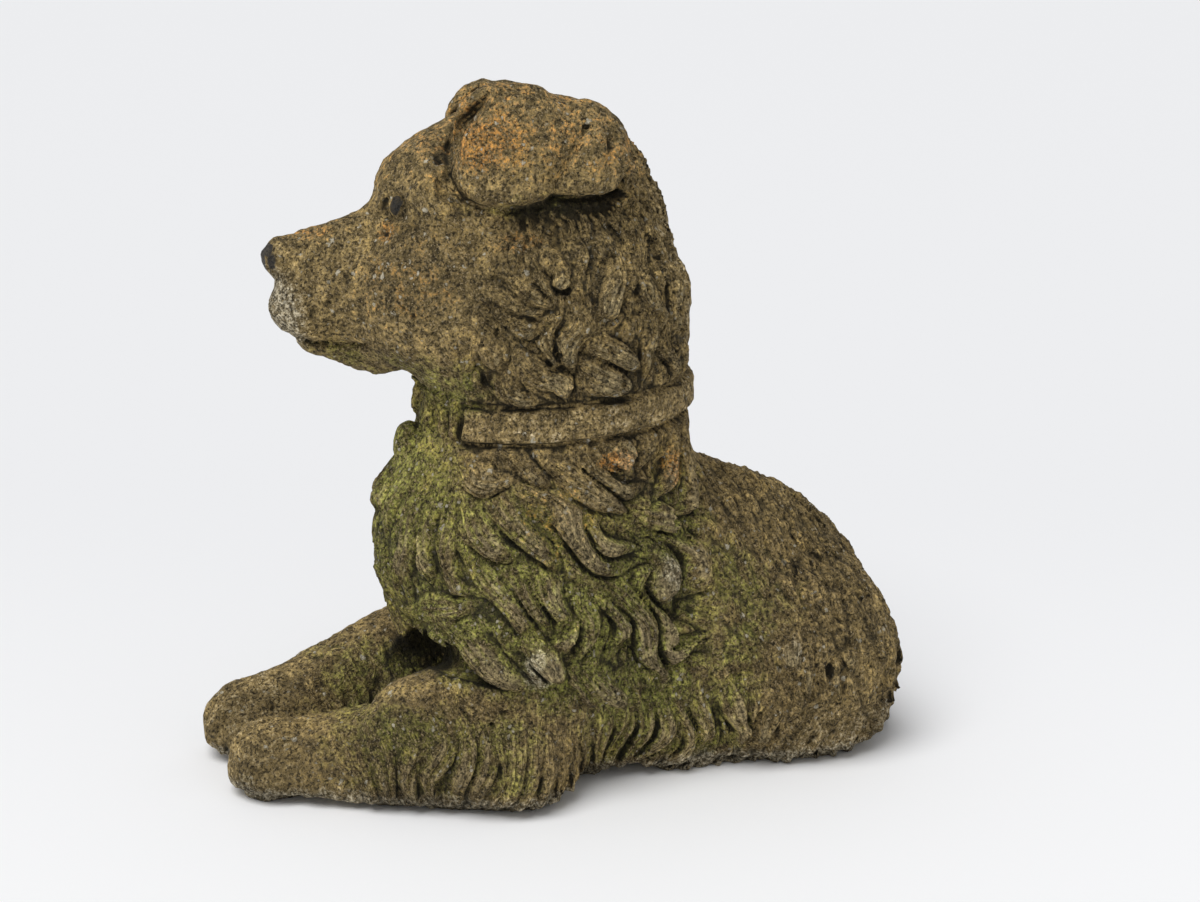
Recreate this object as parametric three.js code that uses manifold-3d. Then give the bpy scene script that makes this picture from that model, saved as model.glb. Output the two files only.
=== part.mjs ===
// A recumbent terrier in cast stone, as a garden ornament: one solid piece with its collar and medallion cast on.
// Millimetres, +Z up, the dog looks along -Y and its left side is +X. It rests on its flat underside at z = 0.
import * as THREE from 'three';
import { mergeVertices } from 'three/addons/utils/BufferGeometryUtils.js';
import Module from 'manifold-3d';

// Driving sizes, in millimetres
const statueHeight = 328;
const collarWidth = 15;
const collarThickness = 2.6;
const medallionWidth = 18;
const medallionHeight = 24;
const medallionThickness = 15;

// The figure is drawn this many units tall, so its pose, proportions and carving are shares of its height.
// Every place and size below that is not in millimetres is in these units.
const drawnHeight = 328;
const unit = statueHeight / drawnHeight;
const degree = Math.PI / 180;

// Resolution, in drawing units and triangles
const gridStep = 3.4;
const footDepth = 7;
const triangleBudget = 9800;

// Places in the drawing
const neckAxisY = -24;
const neckMiddle = [0, -21, 175];
const neckRadii = [57, 62.5];
const neckHalfHeight = 60;
const ringRadius = 65;
const earRimHeight = 277;
const headTurn = 7 * degree;
const headTilt = 5 * degree;
const headTiltHeight = 240;
const collarHeight = 176;
const collarRise = 0.06;
const tuftAngle = 36;
const collarSeam = 2;
const medallionPlace = [0, -91, 153];
const furBackY = 60;
const sideChartTop = 60;
const faceReach = 100;
const chestBottom = 130;

// Distance fields: each takes a point and gives its distance to the form, negative inside

function ellipsoid([cx, cy, cz], [rx, ry, rz]) {
  return ([x, y, z]) => {
    const a = (x - cx) / rx;
    const b = (y - cy) / ry;
    const c = (z - cz) / rz;
    const near = Math.hypot(a, b, c);
    return near * (near - 1) / (Math.hypot(a / rx, b / ry, c / rz) + 1e-9);
  };
}

function limb([ax, ay, az], [bx, by, bz], radiusA, radiusB) {
  const [dx, dy, dz] = [bx - ax, by - ay, bz - az];
  const lengthSquared = dx * dx + dy * dy + dz * dz;
  return ([x, y, z]) => {
    const along = ((x - ax) * dx + (y - ay) * dy + (z - az) * dz) / lengthSquared;
    const t = Math.min(1, Math.max(0, along));
    const gap = Math.hypot(x - ax - t * dx, y - ay - t * dy, z - az - t * dz);
    return gap - radiusA - (radiusB - radiusA) * t;
  };
}

function softMin(a, b, blend) {
  const overlap = Math.max(blend - Math.abs(a - b), 0) / blend;
  return Math.min(a, b) - overlap * overlap * blend / 4;
}

// Joins the fields, each with its own blend radius to what comes before it
function joined(first, ...others) {
  return (p) => others.reduce((d, [field, blend]) => softMin(d, field(p), blend), first(p));
}

function carved(body, ...tools) {
  return (p) => tools.reduce((d, [field, blend]) => -softMin(-d, field(p), blend), body(p));
}

function mirrored(field) {
  return ([x, y, z]) => field([Math.abs(x), y, z]);
}

function smoothStep(low, high, value) {
  const t = Math.min(1, Math.max(0, (value - low) / (high - low)));
  return t * t * (3 - 2 * t);
}

// The head is drawn straight, then turned a little to its right on the neck and tilted
function headFrame([x, y, z]) {
  const back = y - neckAxisY;
  const across = x * Math.cos(headTurn) - back * Math.sin(headTurn);
  const along = x * Math.sin(headTurn) + back * Math.cos(headTurn);
  const share = smoothStep(headTiltHeight - 55, headTiltHeight + 5, z);
  const rise = z - headTiltHeight;
  const tiltedAcross = across * Math.cos(headTilt) + rise * Math.sin(headTilt);
  const tiltedRise = rise * Math.cos(headTilt) - across * Math.sin(headTilt);
  return [across + (tiltedAcross - across) * share, along, z + (tiltedRise - rise) * share];
}

function muzzleField() {
  return joined(
    limb([0, -106, 232], [0, -74, 228], 19, 35),
    [limb([0, -118, 244], [0, -74, 253], 9.5, 17), 10],
    [mirrored(ellipsoid([9, -108, 223], [15, 22, 15])), 6],
    [limb([0, -107, 209], [0, -82, 204], 10.5, 15), 6],
  );
}

// The ear folds over at its top, and its flap hangs in two lobes that end at one rim
function earField() {
  const flap = joined(
    ellipsoid([38, -19, 295], [17, 27, 28]),
    [ellipsoid([36, 11, 290], [17, 20, 25]), 8],
  );
  const belowRim = ([, , z]) => z - earRimHeight;
  const betweenLobes = limb([58, 6, 304], [59, -13, 279], 2.6, 3.6);
  return carved(flap, [belowRim, 5], [betweenLobes, 4]);
}

function headField() {
  const skull = joined(
    ellipsoid([0, -12, 256], [50, 63, 61]),
    [ellipsoid([0, -3, 222], [58, 60, 56]), 22],
    [mirrored(ellipsoid([17, -9, 296], [30, 35, 23])), 10],
    [mirrored(ellipsoid([24, -42, 226], [27, 40, 38])), 16],
    [mirrored(ellipsoid([12, -57, 277], [19, 22, 18])), 14],
    [mirrored(ellipsoid([32, -42, 272], [19, 24, 18])), 12],
    [muzzleField(), 12],
  );
  const face = carved(
    skull,
    [mirrored(limb([16, -124, 214], [24, -88, 207], 2.6, 1.8)), 3],
    [mirrored(limb([0, -132, 212], [16, -124, 214], 2.4, 2.6)), 3],
    [mirrored(ellipsoid([27, -74, 269], [8.5, 8.5, 7.5])), 4],
    [mirrored(limb([23, -78, 265], [14, -85, 259], 2.4, 1.6)), 3],
    [mirrored(limb([24, -76, 272], [23, -75, 292], 2.6, 1.6)), 4],
  );
  const nose = carved(
    ellipsoid([0, -122, 244], [12, 10.5, 9]),
    [mirrored(limb([6.5, -133, 239], [12.5, -125, 238], 2.4, 1.5)), 1.5],
  );
  const features = joined(
    face,
    [nose, 2.5],
    [mirrored(ellipsoid([22, -67.5, 268.5], [7.5, 7.5, 7])), 0.6],
    [mirrored(earField()), 7],
  );
  const underEar = mirrored(limb([62, -46, 266], [60, 26, 266], 11, 10));
  const lipGroove = limb([0, -134, 237], [0, -133, 219], 1.3, 1.3);
  const head = carved(features, [underEar, 3], [lipGroove, 1.5]);
  return (p) => head(headFrame(p));
}

function neckField([x, y, z]) {
  const radius = Math.hypot((x - neckMiddle[0]) / neckRadii[0], (y - neckMiddle[1]) / neckRadii[1]);
  const around = (radius - 1) * neckHalfHeight;
  return -softMin(-around, neckHalfHeight - Math.abs(z - neckMiddle[2]), 10);
}

function medallionField() {
  const radii = [medallionWidth / 2, medallionThickness / 2, medallionHeight / 2];
  return ellipsoid(medallionPlace, radii.map((size) => size / unit));
}

function bodyField() {
  return joined(
    ellipsoid([0, 20, 0], [48, 130, 139]),
    [ellipsoid([0, 28, 60], [57, 99, 73]), 25],
    [mirrored(ellipsoid([34, 94, 42], [31, 46, 49])), 22],
    [ellipsoid([0, -38, 108], [68, 71, 72]), 20],
    [mirrored(ellipsoid([48, -42, 62], [29, 46, 54])), 18],
    [neckField, 18],
    [headField(), 14],
    [medallionField(), 3],
  );
}

function figureField() {
  const chestHollow = ellipsoid([4, -92, 50], [15, 20, 15]);
  const armpit = limb([4, -96, 61], [44, -88, 62], 9, 6.5);
  const figure = joined(
    carved(bodyField(), [chestHollow, 6], [armpit, 5]),
    [limb([57, -58, 21], [24, -160, 11], 32, 21), 8],
    [limb([-48, -70, 37], [-26, -160, 14], 32, 22), 8],
    [limb([-54, -58, 24], [-48, -80, 24], 28, 28), 6],
    [ellipsoid([23, -163, 12], [23, 21, 22]), 6],
    [ellipsoid([-25, -170, 15], [22, 22, 21]), 6],
    [limb([0, -90, 8], [-2, -165, 8], 18, 14), 8],
  );
  const toeGrooves = [[10, 3], [33, 2], [-14, 2], [-36, 0]].map(([x, lean]) => (
    [limb([x, -196, 12], [x - lean, -164, 42], 2.2, 1), 5]
  ));
  return carved(
    figure,
    ...toeGrooves,
    [mirrored(ellipsoid([64, 2, -3], [30, 16, 9])), 4],
    [ellipsoid([52, -150, -3], [14, 26, 8]), 4],
    [ellipsoid([-25, -194, -3], [24, 13, 11]), 4],
    [([, , z]) => z + footDepth, 1],
  );
}

// Locks of fur: each runs from its root to its tip over a flat chart of the surface, with a bow and a wave

function lock([rootA, rootB, tipA, tipB, width, bow = 0, wave = 0, lift = 4.2]) {
  const length = Math.hypot(tipA - rootA, tipB - rootB);
  const [alongA, alongB] = [(tipA - rootA) / length, (tipB - rootB) / length];
  return (a, b) => {
    const t = ((a - rootA) * alongA + (b - rootB) * alongB) / length;
    if (t <= 0 || t >= 1) return 0;
    const aside = (b - rootB) * alongA - (a - rootA) * alongB;
    const middle = bow * 4 * t * (1 - t) + wave * Math.sin(2 * Math.PI * t);
    const half = width / 2 * Math.min(1, 0.6 + 1.2 * t) * Math.sqrt(1 - t * t * t);
    const s = (aside - middle) / half;
    if (Math.abs(s) >= 1) return 0;
    const rise = lift * (0.3 + 0.7 * t) * Math.min(1, 9 * (1 - t));
    return rise * Math.sqrt(1 - s * s);
  };
}

// Places on the neck chart are an angle from the front, in degrees, and a height
function ringLock([rootAngle, rootHeight, tipAngle, tipHeight, ...shape]) {
  const turn = ringRadius * degree;
  return lock([rootAngle * turn, rootHeight, tipAngle * turn, tipHeight, ...shape]);
}

function hash(n) {
  const value = Math.sin(n * 127.1 + 11.7) * 43758.5453;
  return value - Math.floor(value);
}

// Locks that stand out of the mane: angle and height of root and tip, width, bow, wave, lift
const maneLocks = [
  [39, 86, 68, 60, 15, 2, 0, 6], [106, 112, 122, 57, 18, 12, 2, 7], [69, 84, 78, 52, 18, 0, 0, 7],
  [86, 111, 121, 44, 16, -5, 4, 6], [55, 150, 114, 108, 15, 3, 6, 7], [117, 118, 130, 82, 19, -2, 0, 7],
  [42, 144, 82, 110, 15, -2, 4, 6], [93, 167, 119, 141, 16, -7, 0, 7], [34, 164, 62, 148, 15, -4, 0, 6],
  [76, 167, 108, 135, 17, -3, 3, 6],
];

// Locks that stand out of the head's hair, below and behind the ear
const headLocks = [
  [58, 256, 76, 227, 12, -4, 0, 5], [76, 256, 84, 233, 12, 3, 0, 5], [92, 243, 84, 209, 17, 3, 2, 6],
  [65, 216, 86, 185, 17, -4, 2, 6], [94, 221, 124, 187, 20, -5, 3, 7],
];

// Tiers of locks go round the neck, each tier's tips lying over the roots of the next
function tiersOfLocks() {
  const tiers = [];
  const half = 180;
  for (let tier = 0; tier < 7; tier += 1) {
    const top = 62 + tier * 19;
    for (let angle = 40 + (tier % 2) * 6; angle < half; angle += 12.5) {
      const dip = Math.min(80, 36 + (166 - top) * 0.3 + Math.max(0, angle - 60) * 0.4) * degree;
      const length = 40 + 8 * hash(tier * 31 + angle);
      const tip = [angle + Math.cos(dip) * length / (ringRadius * degree), top - Math.sin(dip) * length];
      tiers.push([angle, top, ...tip, 14, 2, 3 - 6 * (tier % 2), 4]);
    }
  }
  for (let tier = 0; tier < 6; tier += 1) {
    const top = 208 + tier * 21;
    const behindEar = 118;
    const first = top < earRimHeight ? 44 + (tier % 2) * 6 + tier * 4 : behindEar;
    for (let angle = first; angle < half; angle += 12.5) {
      const length = 32 + 8 * hash(tier * 17 + angle);
      tiers.push([angle, top, angle + 4, top - length, 13, 1, 3 - 6 * (tier % 2), 3.6]);
    }
  }
  for (let column = 0; column < 9; column += 1) {
    const angle = -34 + column * 8.5;
    tiers.push([angle, 192, angle * 0.96, 154, 10, 0, 0.8, 4]);
    for (let row = 0; row < 4; row += 1) {
      const top = 92 + row * 24 + 12 * (column % 2);
      tiers.push([angle, top, angle * 0.94, top - 40, 10, 0, 1.2, 2.4]);
    }
  }
  return tiers;
}

// The side chart has places as distance back and height: the belly's fringe, the haunch and the foreleg's feathers
const sideLocks = [
  [-30, 60, -44, -4, 14, 3, 2, 4], [-20, 58, -24, 0, 14, 2, 2, 4], [12, 62, 2, -4, 18, 8, 2, 6],
  [28, 58, 25, -4, 17, 6, -2, 5], [40, 54, 48, -4, 16, 3, 2, 5], [56, 52, 55, -4, 15, 4, 2, 4],
  [70, 50, 63, -4, 14, 4, 0, 4], [77, 75, 74, 49, 13, 0, 0, 5], [98, 80, 112, 56, 12, -4, 0, 3],
  [118, 34, 131, -4, 14, 3, 0, 3],
];

// Feathers hang from the foreleg to the ground, and low locks slant down the flank
function sideRows() {
  const rows = [];
  for (let column = 0; column < 8; column += 1) {
    const back = -132 + column * 12;
    const top = 30 + column * 3.4;
    rows.push([back, top, back - 3 - column, -4, 13, 1, column % 2 ? 3 : -2, 4]);
  }
  for (let row = 0; row < 4; row += 1) {
    for (let column = 0; column < 5; column += 1) {
      const back = 40 + column * 20 + row * 4;
      const top = 130 - row * 25 - column * column * 2.4;
      rows.push([back, top, back + 22, top - 38, 13, 1, 2, 2]);
    }
  }
  return rows;
}

function reliefField() {
  const ring = [...maneLocks, ...headLocks].map(ringLock);
  const tiers = tiersOfLocks().map(ringLock);
  const side = [...sideLocks, ...sideRows()].map(lock);
  const highest = (locks, a, b) => locks.reduce((top, height) => Math.max(top, height(a, b)), 0);
  return ([x, y, z], normal) => {
    const angle = Math.atan2(x, neckAxisY - y) / degree;
    const aside = Math.abs(angle);
    const arc = ringRadius * degree;
    const collarMiddle = collarHeight + collarRise * (y - neckAxisY);
    const fromCollar = Math.abs(z - collarMiddle) - collarWidth / unit / 2;
    const onHair = Math.hypot(x, y - neckAxisY) > faceReach ? 0 : 1;
    const openHair = onHair * smoothStep(0, 3, aside < tuftAngle ? 4 : fromCollar);
    const ringHair = Math.max(highest(ring, aside * arc, z), highest(tiers, aside * arc, z)) * openHair;
    const sideHair = highest(side, y, z) * smoothStep(0.25, 0.6, Math.abs(normal[0]));
    const lowFade = smoothStep(20, sideChartTop, z) * smoothStep(furBackY + 15, furBackY - 15, y);
    const ringShare = y < furBackY && z > sideChartTop ? 1 : lowFade;
    const fur = Math.max(ringHair * ringShare, sideHair);
    if (z < chestBottom) return fur;
    const band = (1 - smoothStep(-1.5, 0.5, fromCollar)) * smoothStep(tuftAngle - 1, tuftAngle + 1, aside);
    const seam = Math.exp(-(((fromCollar - 1.5) / 1.8) ** 2)) * smoothStep(tuftAngle, tuftAngle + 4, aside);
    return fur + band * collarThickness / unit - seam * collarSeam;
  };
}

// Surface of a field: every grid cell is six tetrahedra, each cut by the field's zero level

function surfaceOf(field, low, high, step) {
  const count = high.map((top, k) => Math.ceil((top - low[k]) / step) + 1);
  const [nx, ny, nz] = count;
  const values = new Float64Array(nx * ny * nz);
  const place = (i) => [low[0] + (i % nx) * step, low[1] + (Math.floor(i / nx) % ny) * step,
    low[2] + Math.floor(i / (nx * ny)) * step];
  const block = 4;
  for (let z = 0; z < nz; z += block) {
    for (let y = 0; y < ny; y += block) {
      for (let x = 0; x < nx; x += block) {
        const middle = field([low[0] + (x + 1.5) * step, low[1] + (y + 1.5) * step, low[2] + (z + 1.5) * step]);
        const far = Math.abs(middle) > 2.2 * block * step;
        for (let k = z; k < Math.min(nz, z + block); k += 1) {
          for (let j = y; j < Math.min(ny, y + block); j += 1) {
            for (let i = x; i < Math.min(nx, x + block); i += 1) {
              const node = i + nx * (j + ny * k);
              values[node] = far ? middle : field(place(node)) || 1e-6;
            }
          }
        }
      }
    }
  }
  const jumps = [1, nx, nx * ny];
  const tetrahedra = [[0, 1, 2], [0, 2, 1], [1, 0, 2], [1, 2, 0], [2, 0, 1], [2, 1, 0]].map(([a, b]) => (
    [0, jumps[a], jumps[a] + jumps[b], jumps[0] + jumps[1] + jumps[2]]));
  const corners = [0, 1, nx, nx + 1].flatMap((offset) => [offset, offset + nx * ny]);
  const points = [];
  const known = new Map();
  const crossing = (i, j) => {
    const [a, b] = i < j ? [i, j] : [j, i];
    const key = a * 8 + [jumps[0], jumps[1], jumps[2], jumps[0] + jumps[1], jumps[0] + jumps[2],
      jumps[1] + jumps[2], jumps[0] + jumps[1] + jumps[2]].indexOf(b - a);
    if (!known.has(key)) {
      const t = Math.min(0.96, Math.max(0.04, values[a] / (values[a] - values[b])));
      const [pa, pb] = [place(a), place(b)];
      known.set(key, points.length);
      points.push(pa.map((value, k) => value + (pb[k] - value) * t));
    }
    return known.get(key);
  };
  const faces = [];
  const addFace = (a, b, c, outward) => {
    const [p, q, r] = [points[a], points[b], points[c]];
    const [u, v] = [q.map((value, k) => value - p[k]), r.map((value, k) => value - p[k])];
    const side = outward[0] * (u[1] * v[2] - u[2] * v[1]) + outward[1] * (u[2] * v[0] - u[0] * v[2])
      + outward[2] * (u[0] * v[1] - u[1] * v[0]);
    faces.push(side > 0 ? [a, b, c] : [a, c, b]);
  };
  for (let z = 0; z < nz - 1; z += 1) {
    for (let y = 0; y < ny - 1; y += 1) {
      for (let x = 0; x < nx - 1; x += 1) {
        const corner = x + nx * (y + ny * z);
        const inside = corners.filter((offset) => values[corner + offset] < 0).length;
        if (inside === 0 || inside === corners.length) continue;
        for (const offsets of tetrahedra) {
          const nodes = offsets.map((offset) => corner + offset);
          const inner = nodes.filter((node) => values[node] < 0);
          if (inner.length === 0 || inner.length === 4) continue;
          const outer = nodes.filter((node) => values[node] >= 0);
          const middle = (list) => [0, 1, 2].map((k) => (
            list.reduce((sum, node) => sum + place(node)[k], 0) / list.length));
          const [from, to] = [middle(inner), middle(outer)];
          const outward = to.map((value, k) => value - from[k]);
          const cuts = inner.flatMap((a) => outer.map((b) => crossing(a, b)));
          if (cuts.length === 3) {
            addFace(cuts[0], cuts[1], cuts[2], outward);
          } else {
            addFace(cuts[0], cuts[1], cuts[2], outward);
            addFace(cuts[3], cuts[1], cuts[2], outward);
          }
        }
      }
    }
  }
  return { points, faces };
}

function slopeOf(field, [x, y, z]) {
  const reach = 1.2;
  const slope = [
    field([x + reach, y, z]) - field([x - reach, y, z]),
    field([x, y + reach, z]) - field([x, y - reach, z]),
    field([x, y, z + reach]) - field([x, y, z - reach]),
  ];
  const size = Math.hypot(...slope) || 1;
  return slope.map((value) => value / size);
}

// Merges edges by the least quadric error until the face budget is met
function simplified({ points, faces }, budget) {
  const quadrics = points.map(() => new Float64Array(10));
  const facesAt = points.map(() => new Set());
  const alive = faces.map(() => true);
  const normalOf = ([a, b, c]) => {
    const [p, q, r] = [points[a], points[b], points[c]];
    const [ux, uy, uz] = [q[0] - p[0], q[1] - p[1], q[2] - p[2]];
    const [vx, vy, vz] = [r[0] - p[0], r[1] - p[1], r[2] - p[2]];
    return [uy * vz - uz * vy, uz * vx - ux * vz, ux * vy - uy * vx];
  };
  faces.forEach((face, index) => {
    const normal = normalOf(face);
    const area = Math.hypot(...normal) || 1e-12;
    const [a, b, c] = normal.map((value) => value / area);
    const d = -(a * points[face[0]][0] + b * points[face[0]][1] + c * points[face[0]][2]);
    const terms = [a * a, a * b, a * c, a * d, b * b, b * c, b * d, c * c, c * d, d * d];
    for (const vertex of face) {
      facesAt[vertex].add(index);
      terms.forEach((term, k) => { quadrics[vertex][k] += term * area; });
    }
  });
  const errorAt = (q, [x, y, z]) => q[0] * x * x + 2 * q[1] * x * y + 2 * q[2] * x * z + 2 * q[3] * x
    + q[4] * y * y + 2 * q[5] * y * z + 2 * q[6] * y + q[7] * z * z + 2 * q[8] * z + q[9];
  const bestPlace = (a, b) => {
    const q = quadrics[a].map((value, k) => value + quadrics[b][k]);
    const middle = points[a].map((value, k) => (value + points[b][k]) / 2);
    const candidates = [points[a], points[b], middle];
    const m = new THREE.Matrix3().set(q[0], q[1], q[2], q[1], q[4], q[5], q[2], q[5], q[7]);
    if (Math.abs(m.determinant()) > 1e-6 * (q[0] + q[4] + q[7]) ** 3) {
      const best = new THREE.Vector3(-q[3], -q[6], -q[8]).applyMatrix3(m.invert()).toArray();
      const span = Math.hypot(...points[a].map((value, k) => value - points[b][k]));
      if (Math.hypot(...best.map((value, k) => value - middle[k])) < span) candidates.unshift(best);
    }
    const costs = candidates.map((candidate) => errorAt(q, candidate));
    const cost = Math.min(...costs);
    return { place: candidates[costs.indexOf(cost)], cost: Math.max(cost, 0) };
  };
  const stamps = new Int32Array(points.length);
  const heap = [];
  const push = (entry) => {
    let i = heap.push(entry) - 1;
    while (i > 0) {
      const parent = (i - 1) >> 1;
      if (heap[parent].cost <= entry.cost) break;
      heap[i] = heap[parent];
      i = parent;
    }
    heap[i] = entry;
  };
  const pop = () => {
    const top = heap[0];
    const last = heap.pop();
    if (heap.length === 0) return top;
    let i = 0;
    for (;;) {
      let child = 2 * i + 1;
      if (child >= heap.length) break;
      if (child + 1 < heap.length && heap[child + 1].cost < heap[child].cost) child += 1;
      if (heap[child].cost >= last.cost) break;
      heap[i] = heap[child];
      i = child;
    }
    heap[i] = last;
    return top;
  };
  const offer = (a, b) => push({ a, b, stampA: stamps[a], stampB: stamps[b], ...bestPlace(a, b) });
  const neighbours = (vertex) => {
    const found = new Set();
    for (const index of facesAt[vertex]) for (const other of faces[index]) found.add(other);
    found.delete(vertex);
    return found;
  };
  for (const face of faces) {
    for (let k = 0; k < 3; k += 1) {
      const [a, b] = [face[k], face[(k + 1) % 3]];
      if (a < b) offer(a, b);
    }
  }
  const flips = (vertex, other, place) => {
    for (const index of facesAt[vertex]) {
      const face = faces[index];
      if (face.includes(other)) continue;
      const before = normalOf(face);
      const kept = points[vertex];
      points[vertex] = place;
      const after = normalOf(face);
      points[vertex] = kept;
      const dot = before[0] * after[0] + before[1] * after[1] + before[2] * after[2];
      if (dot < 0.25 * Math.hypot(...before) * Math.hypot(...after) + 1e-9) return true;
    }
    return false;
  };
  let left = faces.length;
  while (left > budget && heap.length > 0) {
    const { a, b, stampA, stampB, place } = pop();
    if (stamps[a] !== stampA || stamps[b] !== stampB) continue;
    const around = neighbours(b);
    const shared = [...neighbours(a)].filter((vertex) => around.has(vertex));
    if (shared.length !== 2 || flips(a, b, place) || flips(b, a, place)) continue;
    for (const index of [...facesAt[b]]) {
      const face = faces[index];
      if (face.includes(a)) {
        for (const vertex of face) facesAt[vertex].delete(index);
        alive[index] = false;
        left -= 1;
      } else {
        face[face.indexOf(b)] = a;
        facesAt[a].add(index);
      }
    }
    facesAt[b].clear();
    points[a] = place;
    quadrics[a] = quadrics[a].map((value, k) => value + quadrics[b][k]);
    stamps[a] += 1;
    stamps[b] = -1;
    for (const vertex of neighbours(a)) offer(a, vertex);
  }
  return { points, faces: faces.filter((face, index) => alive[index]) };
}

function solidFrom(wasm, geometry) {
  geometry.deleteAttribute('normal');
  geometry.deleteAttribute('uv');
  const merged = mergeVertices(geometry, 1e-5);
  return new wasm.Manifold(new wasm.Mesh({
    numProp: 3,
    vertProperties: new Float32Array(merged.attributes.position.array),
    triVerts: new Uint32Array(merged.index.array),
  }));
}

function geometryFrom(vertices, indices) {
  const geometry = new THREE.BufferGeometry();
  geometry.setAttribute('position', new THREE.Float32BufferAttribute(vertices, 3));
  geometry.setIndex(indices);
  return geometry;
}

async function terrierGeometry() {
  const wasm = await Module();
  wasm.setup();
  const field = figureField();
  const relief = reliefField();
  const surface = surfaceOf(field, [-92, -204, -12], [92, 164, 340], gridStep);
  surface.points = surface.points.map((point) => {
    const normal = slopeOf(field, point);
    const height = relief(point, normal);
    return point.map((value, k) => value + normal[k] * height);
  });
  const form = simplified(surface, triangleBudget);
  const vertices = form.points.flatMap((point) => point.map((value) => value * unit));
  const whole = solidFrom(wasm, geometryFrom(vertices, form.faces.flat()));
  const below = new THREE.BoxGeometry(2 * statueHeight, 2 * statueHeight, statueHeight);
  below.translate(0, 0, -statueHeight / 2);
  const cut = whole.subtract(solidFrom(wasm, below)).getMesh();
  const geometry = geometryFrom(Array.from(cut.vertProperties), Array.from(cut.triVerts));
  geometry.computeBoundingBox();
  const { min, max } = geometry.boundingBox;
  geometry.translate(-(min.x + max.x) / 2, -(min.y + max.y) / 2, 0);
  geometry.computeVertexNormals();
  return geometry;
}

const castStone = new THREE.MeshStandardMaterial({ color: 0x6e6444, roughness: 0.95, metalness: 0 });
const terrier = new THREE.Mesh(await terrierGeometry(), castStone);
terrier.name = 'terrier';

const statue = new THREE.Group();
statue.add(terrier);

export default statue;
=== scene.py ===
"""A recumbent terrier in mossy cast stone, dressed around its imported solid.

The statue is one casting, so one piece, terrier_stone, stands for the CAD node. Its form is a distance field
of rounded masses, as in the CAD, meshed much finer here, with locks of hair laid over it. The field is an
implicit surface because a coat of overlapping locks has no single pair of surface parameters.

Places and sizes of the form are in drawing units. One unit is a millimetre at the statue's own height, +Z is
up, the dog looks along -Y and its left side is +X.
"""

from __future__ import annotations

import logging
import math
from dataclasses import dataclass, field, replace
from enum import Enum
from typing import Iterable, Union

import bpy
import numpy as np
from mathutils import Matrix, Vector


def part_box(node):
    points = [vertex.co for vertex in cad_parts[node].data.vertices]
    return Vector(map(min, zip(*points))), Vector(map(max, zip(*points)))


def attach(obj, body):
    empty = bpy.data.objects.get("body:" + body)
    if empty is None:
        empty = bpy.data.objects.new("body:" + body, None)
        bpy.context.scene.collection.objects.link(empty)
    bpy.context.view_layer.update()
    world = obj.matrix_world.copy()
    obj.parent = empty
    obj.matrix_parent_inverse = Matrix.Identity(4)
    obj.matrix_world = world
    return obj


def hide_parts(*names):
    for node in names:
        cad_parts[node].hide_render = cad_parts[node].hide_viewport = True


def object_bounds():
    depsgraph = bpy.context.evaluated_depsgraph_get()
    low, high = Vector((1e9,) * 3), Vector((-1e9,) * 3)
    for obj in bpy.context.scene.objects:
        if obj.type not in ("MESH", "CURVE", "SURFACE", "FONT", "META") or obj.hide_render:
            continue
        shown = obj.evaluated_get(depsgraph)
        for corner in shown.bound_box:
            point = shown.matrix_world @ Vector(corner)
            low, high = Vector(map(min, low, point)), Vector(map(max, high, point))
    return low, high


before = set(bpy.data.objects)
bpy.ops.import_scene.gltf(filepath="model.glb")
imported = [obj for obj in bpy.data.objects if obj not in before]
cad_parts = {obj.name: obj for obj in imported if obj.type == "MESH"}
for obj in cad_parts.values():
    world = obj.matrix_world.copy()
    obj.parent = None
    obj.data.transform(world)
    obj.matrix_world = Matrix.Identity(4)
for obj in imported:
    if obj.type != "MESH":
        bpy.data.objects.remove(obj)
CAD_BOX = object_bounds()

LOG = logging.getLogger("terrier")
NODE = "terrier"
DRAWN_HEIGHT = 326.0
FULL_STEP = 1.15
UNIT = (CAD_BOX[1].z - CAD_BOX[0].z) / DRAWN_HEIGHT
TINY = 1e-9

Array = np.ndarray
Place = tuple[float, float, float]
Node2 = tuple[float, float]


def smooth_step(low: float, high: float, value: Array) -> Array:
    """Eases from 0 at low to 1 at high by three t squared less two t cubed; low may be the larger one."""
    t = np.clip((value - low) / (high - low), 0.0, 1.0)
    return t * t * (3.0 - 2.0 * t)


def bell(middle: float, spread: float, value: Array) -> Array:
    """A bump of height 1 at middle: e to the minus squared distance over spread."""
    return np.exp(-(((value - middle) / spread) ** 2))


def line_gap(nodes: tuple[Node2, ...], a: Array, b: Array) -> Array:
    """The distance from each place to a line through nodes, in a plane.

    Args:
        nodes: the line's nodes.
        a: first coordinate of each place.
        b: second coordinate of each place.

    Returns:
        The shortest distance to any of its spans.
    """
    best = np.full(np.shape(a), np.inf)
    for (a0, b0), (a1, b1) in zip(nodes, nodes[1:]):
        da, db = a1 - a0, b1 - b0
        t = np.clip(((a - a0) * da + (b - b0) * db) / (da * da + db * db), 0.0, 1.0)
        best = np.minimum(best, np.hypot(a - a0 - t * da, b - b0 - t * db))
    return best


def folded(p: Array) -> Array:
    """The mirror image of every place that is on the right, the place itself on the left."""
    return np.stack([np.abs(p[0]), p[1], p[2]])


# Forms


class Form:
    """A form in space. Its distance is negative inside, positive outside, and 0 on the surface."""

    def distance(self, p: Array) -> Array:
        """Gives the distance at each point.

        Args:
            p: places in drawing units, as three rows.

        Returns:
            One distance for each place.
        """
        raise NotImplementedError


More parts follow.
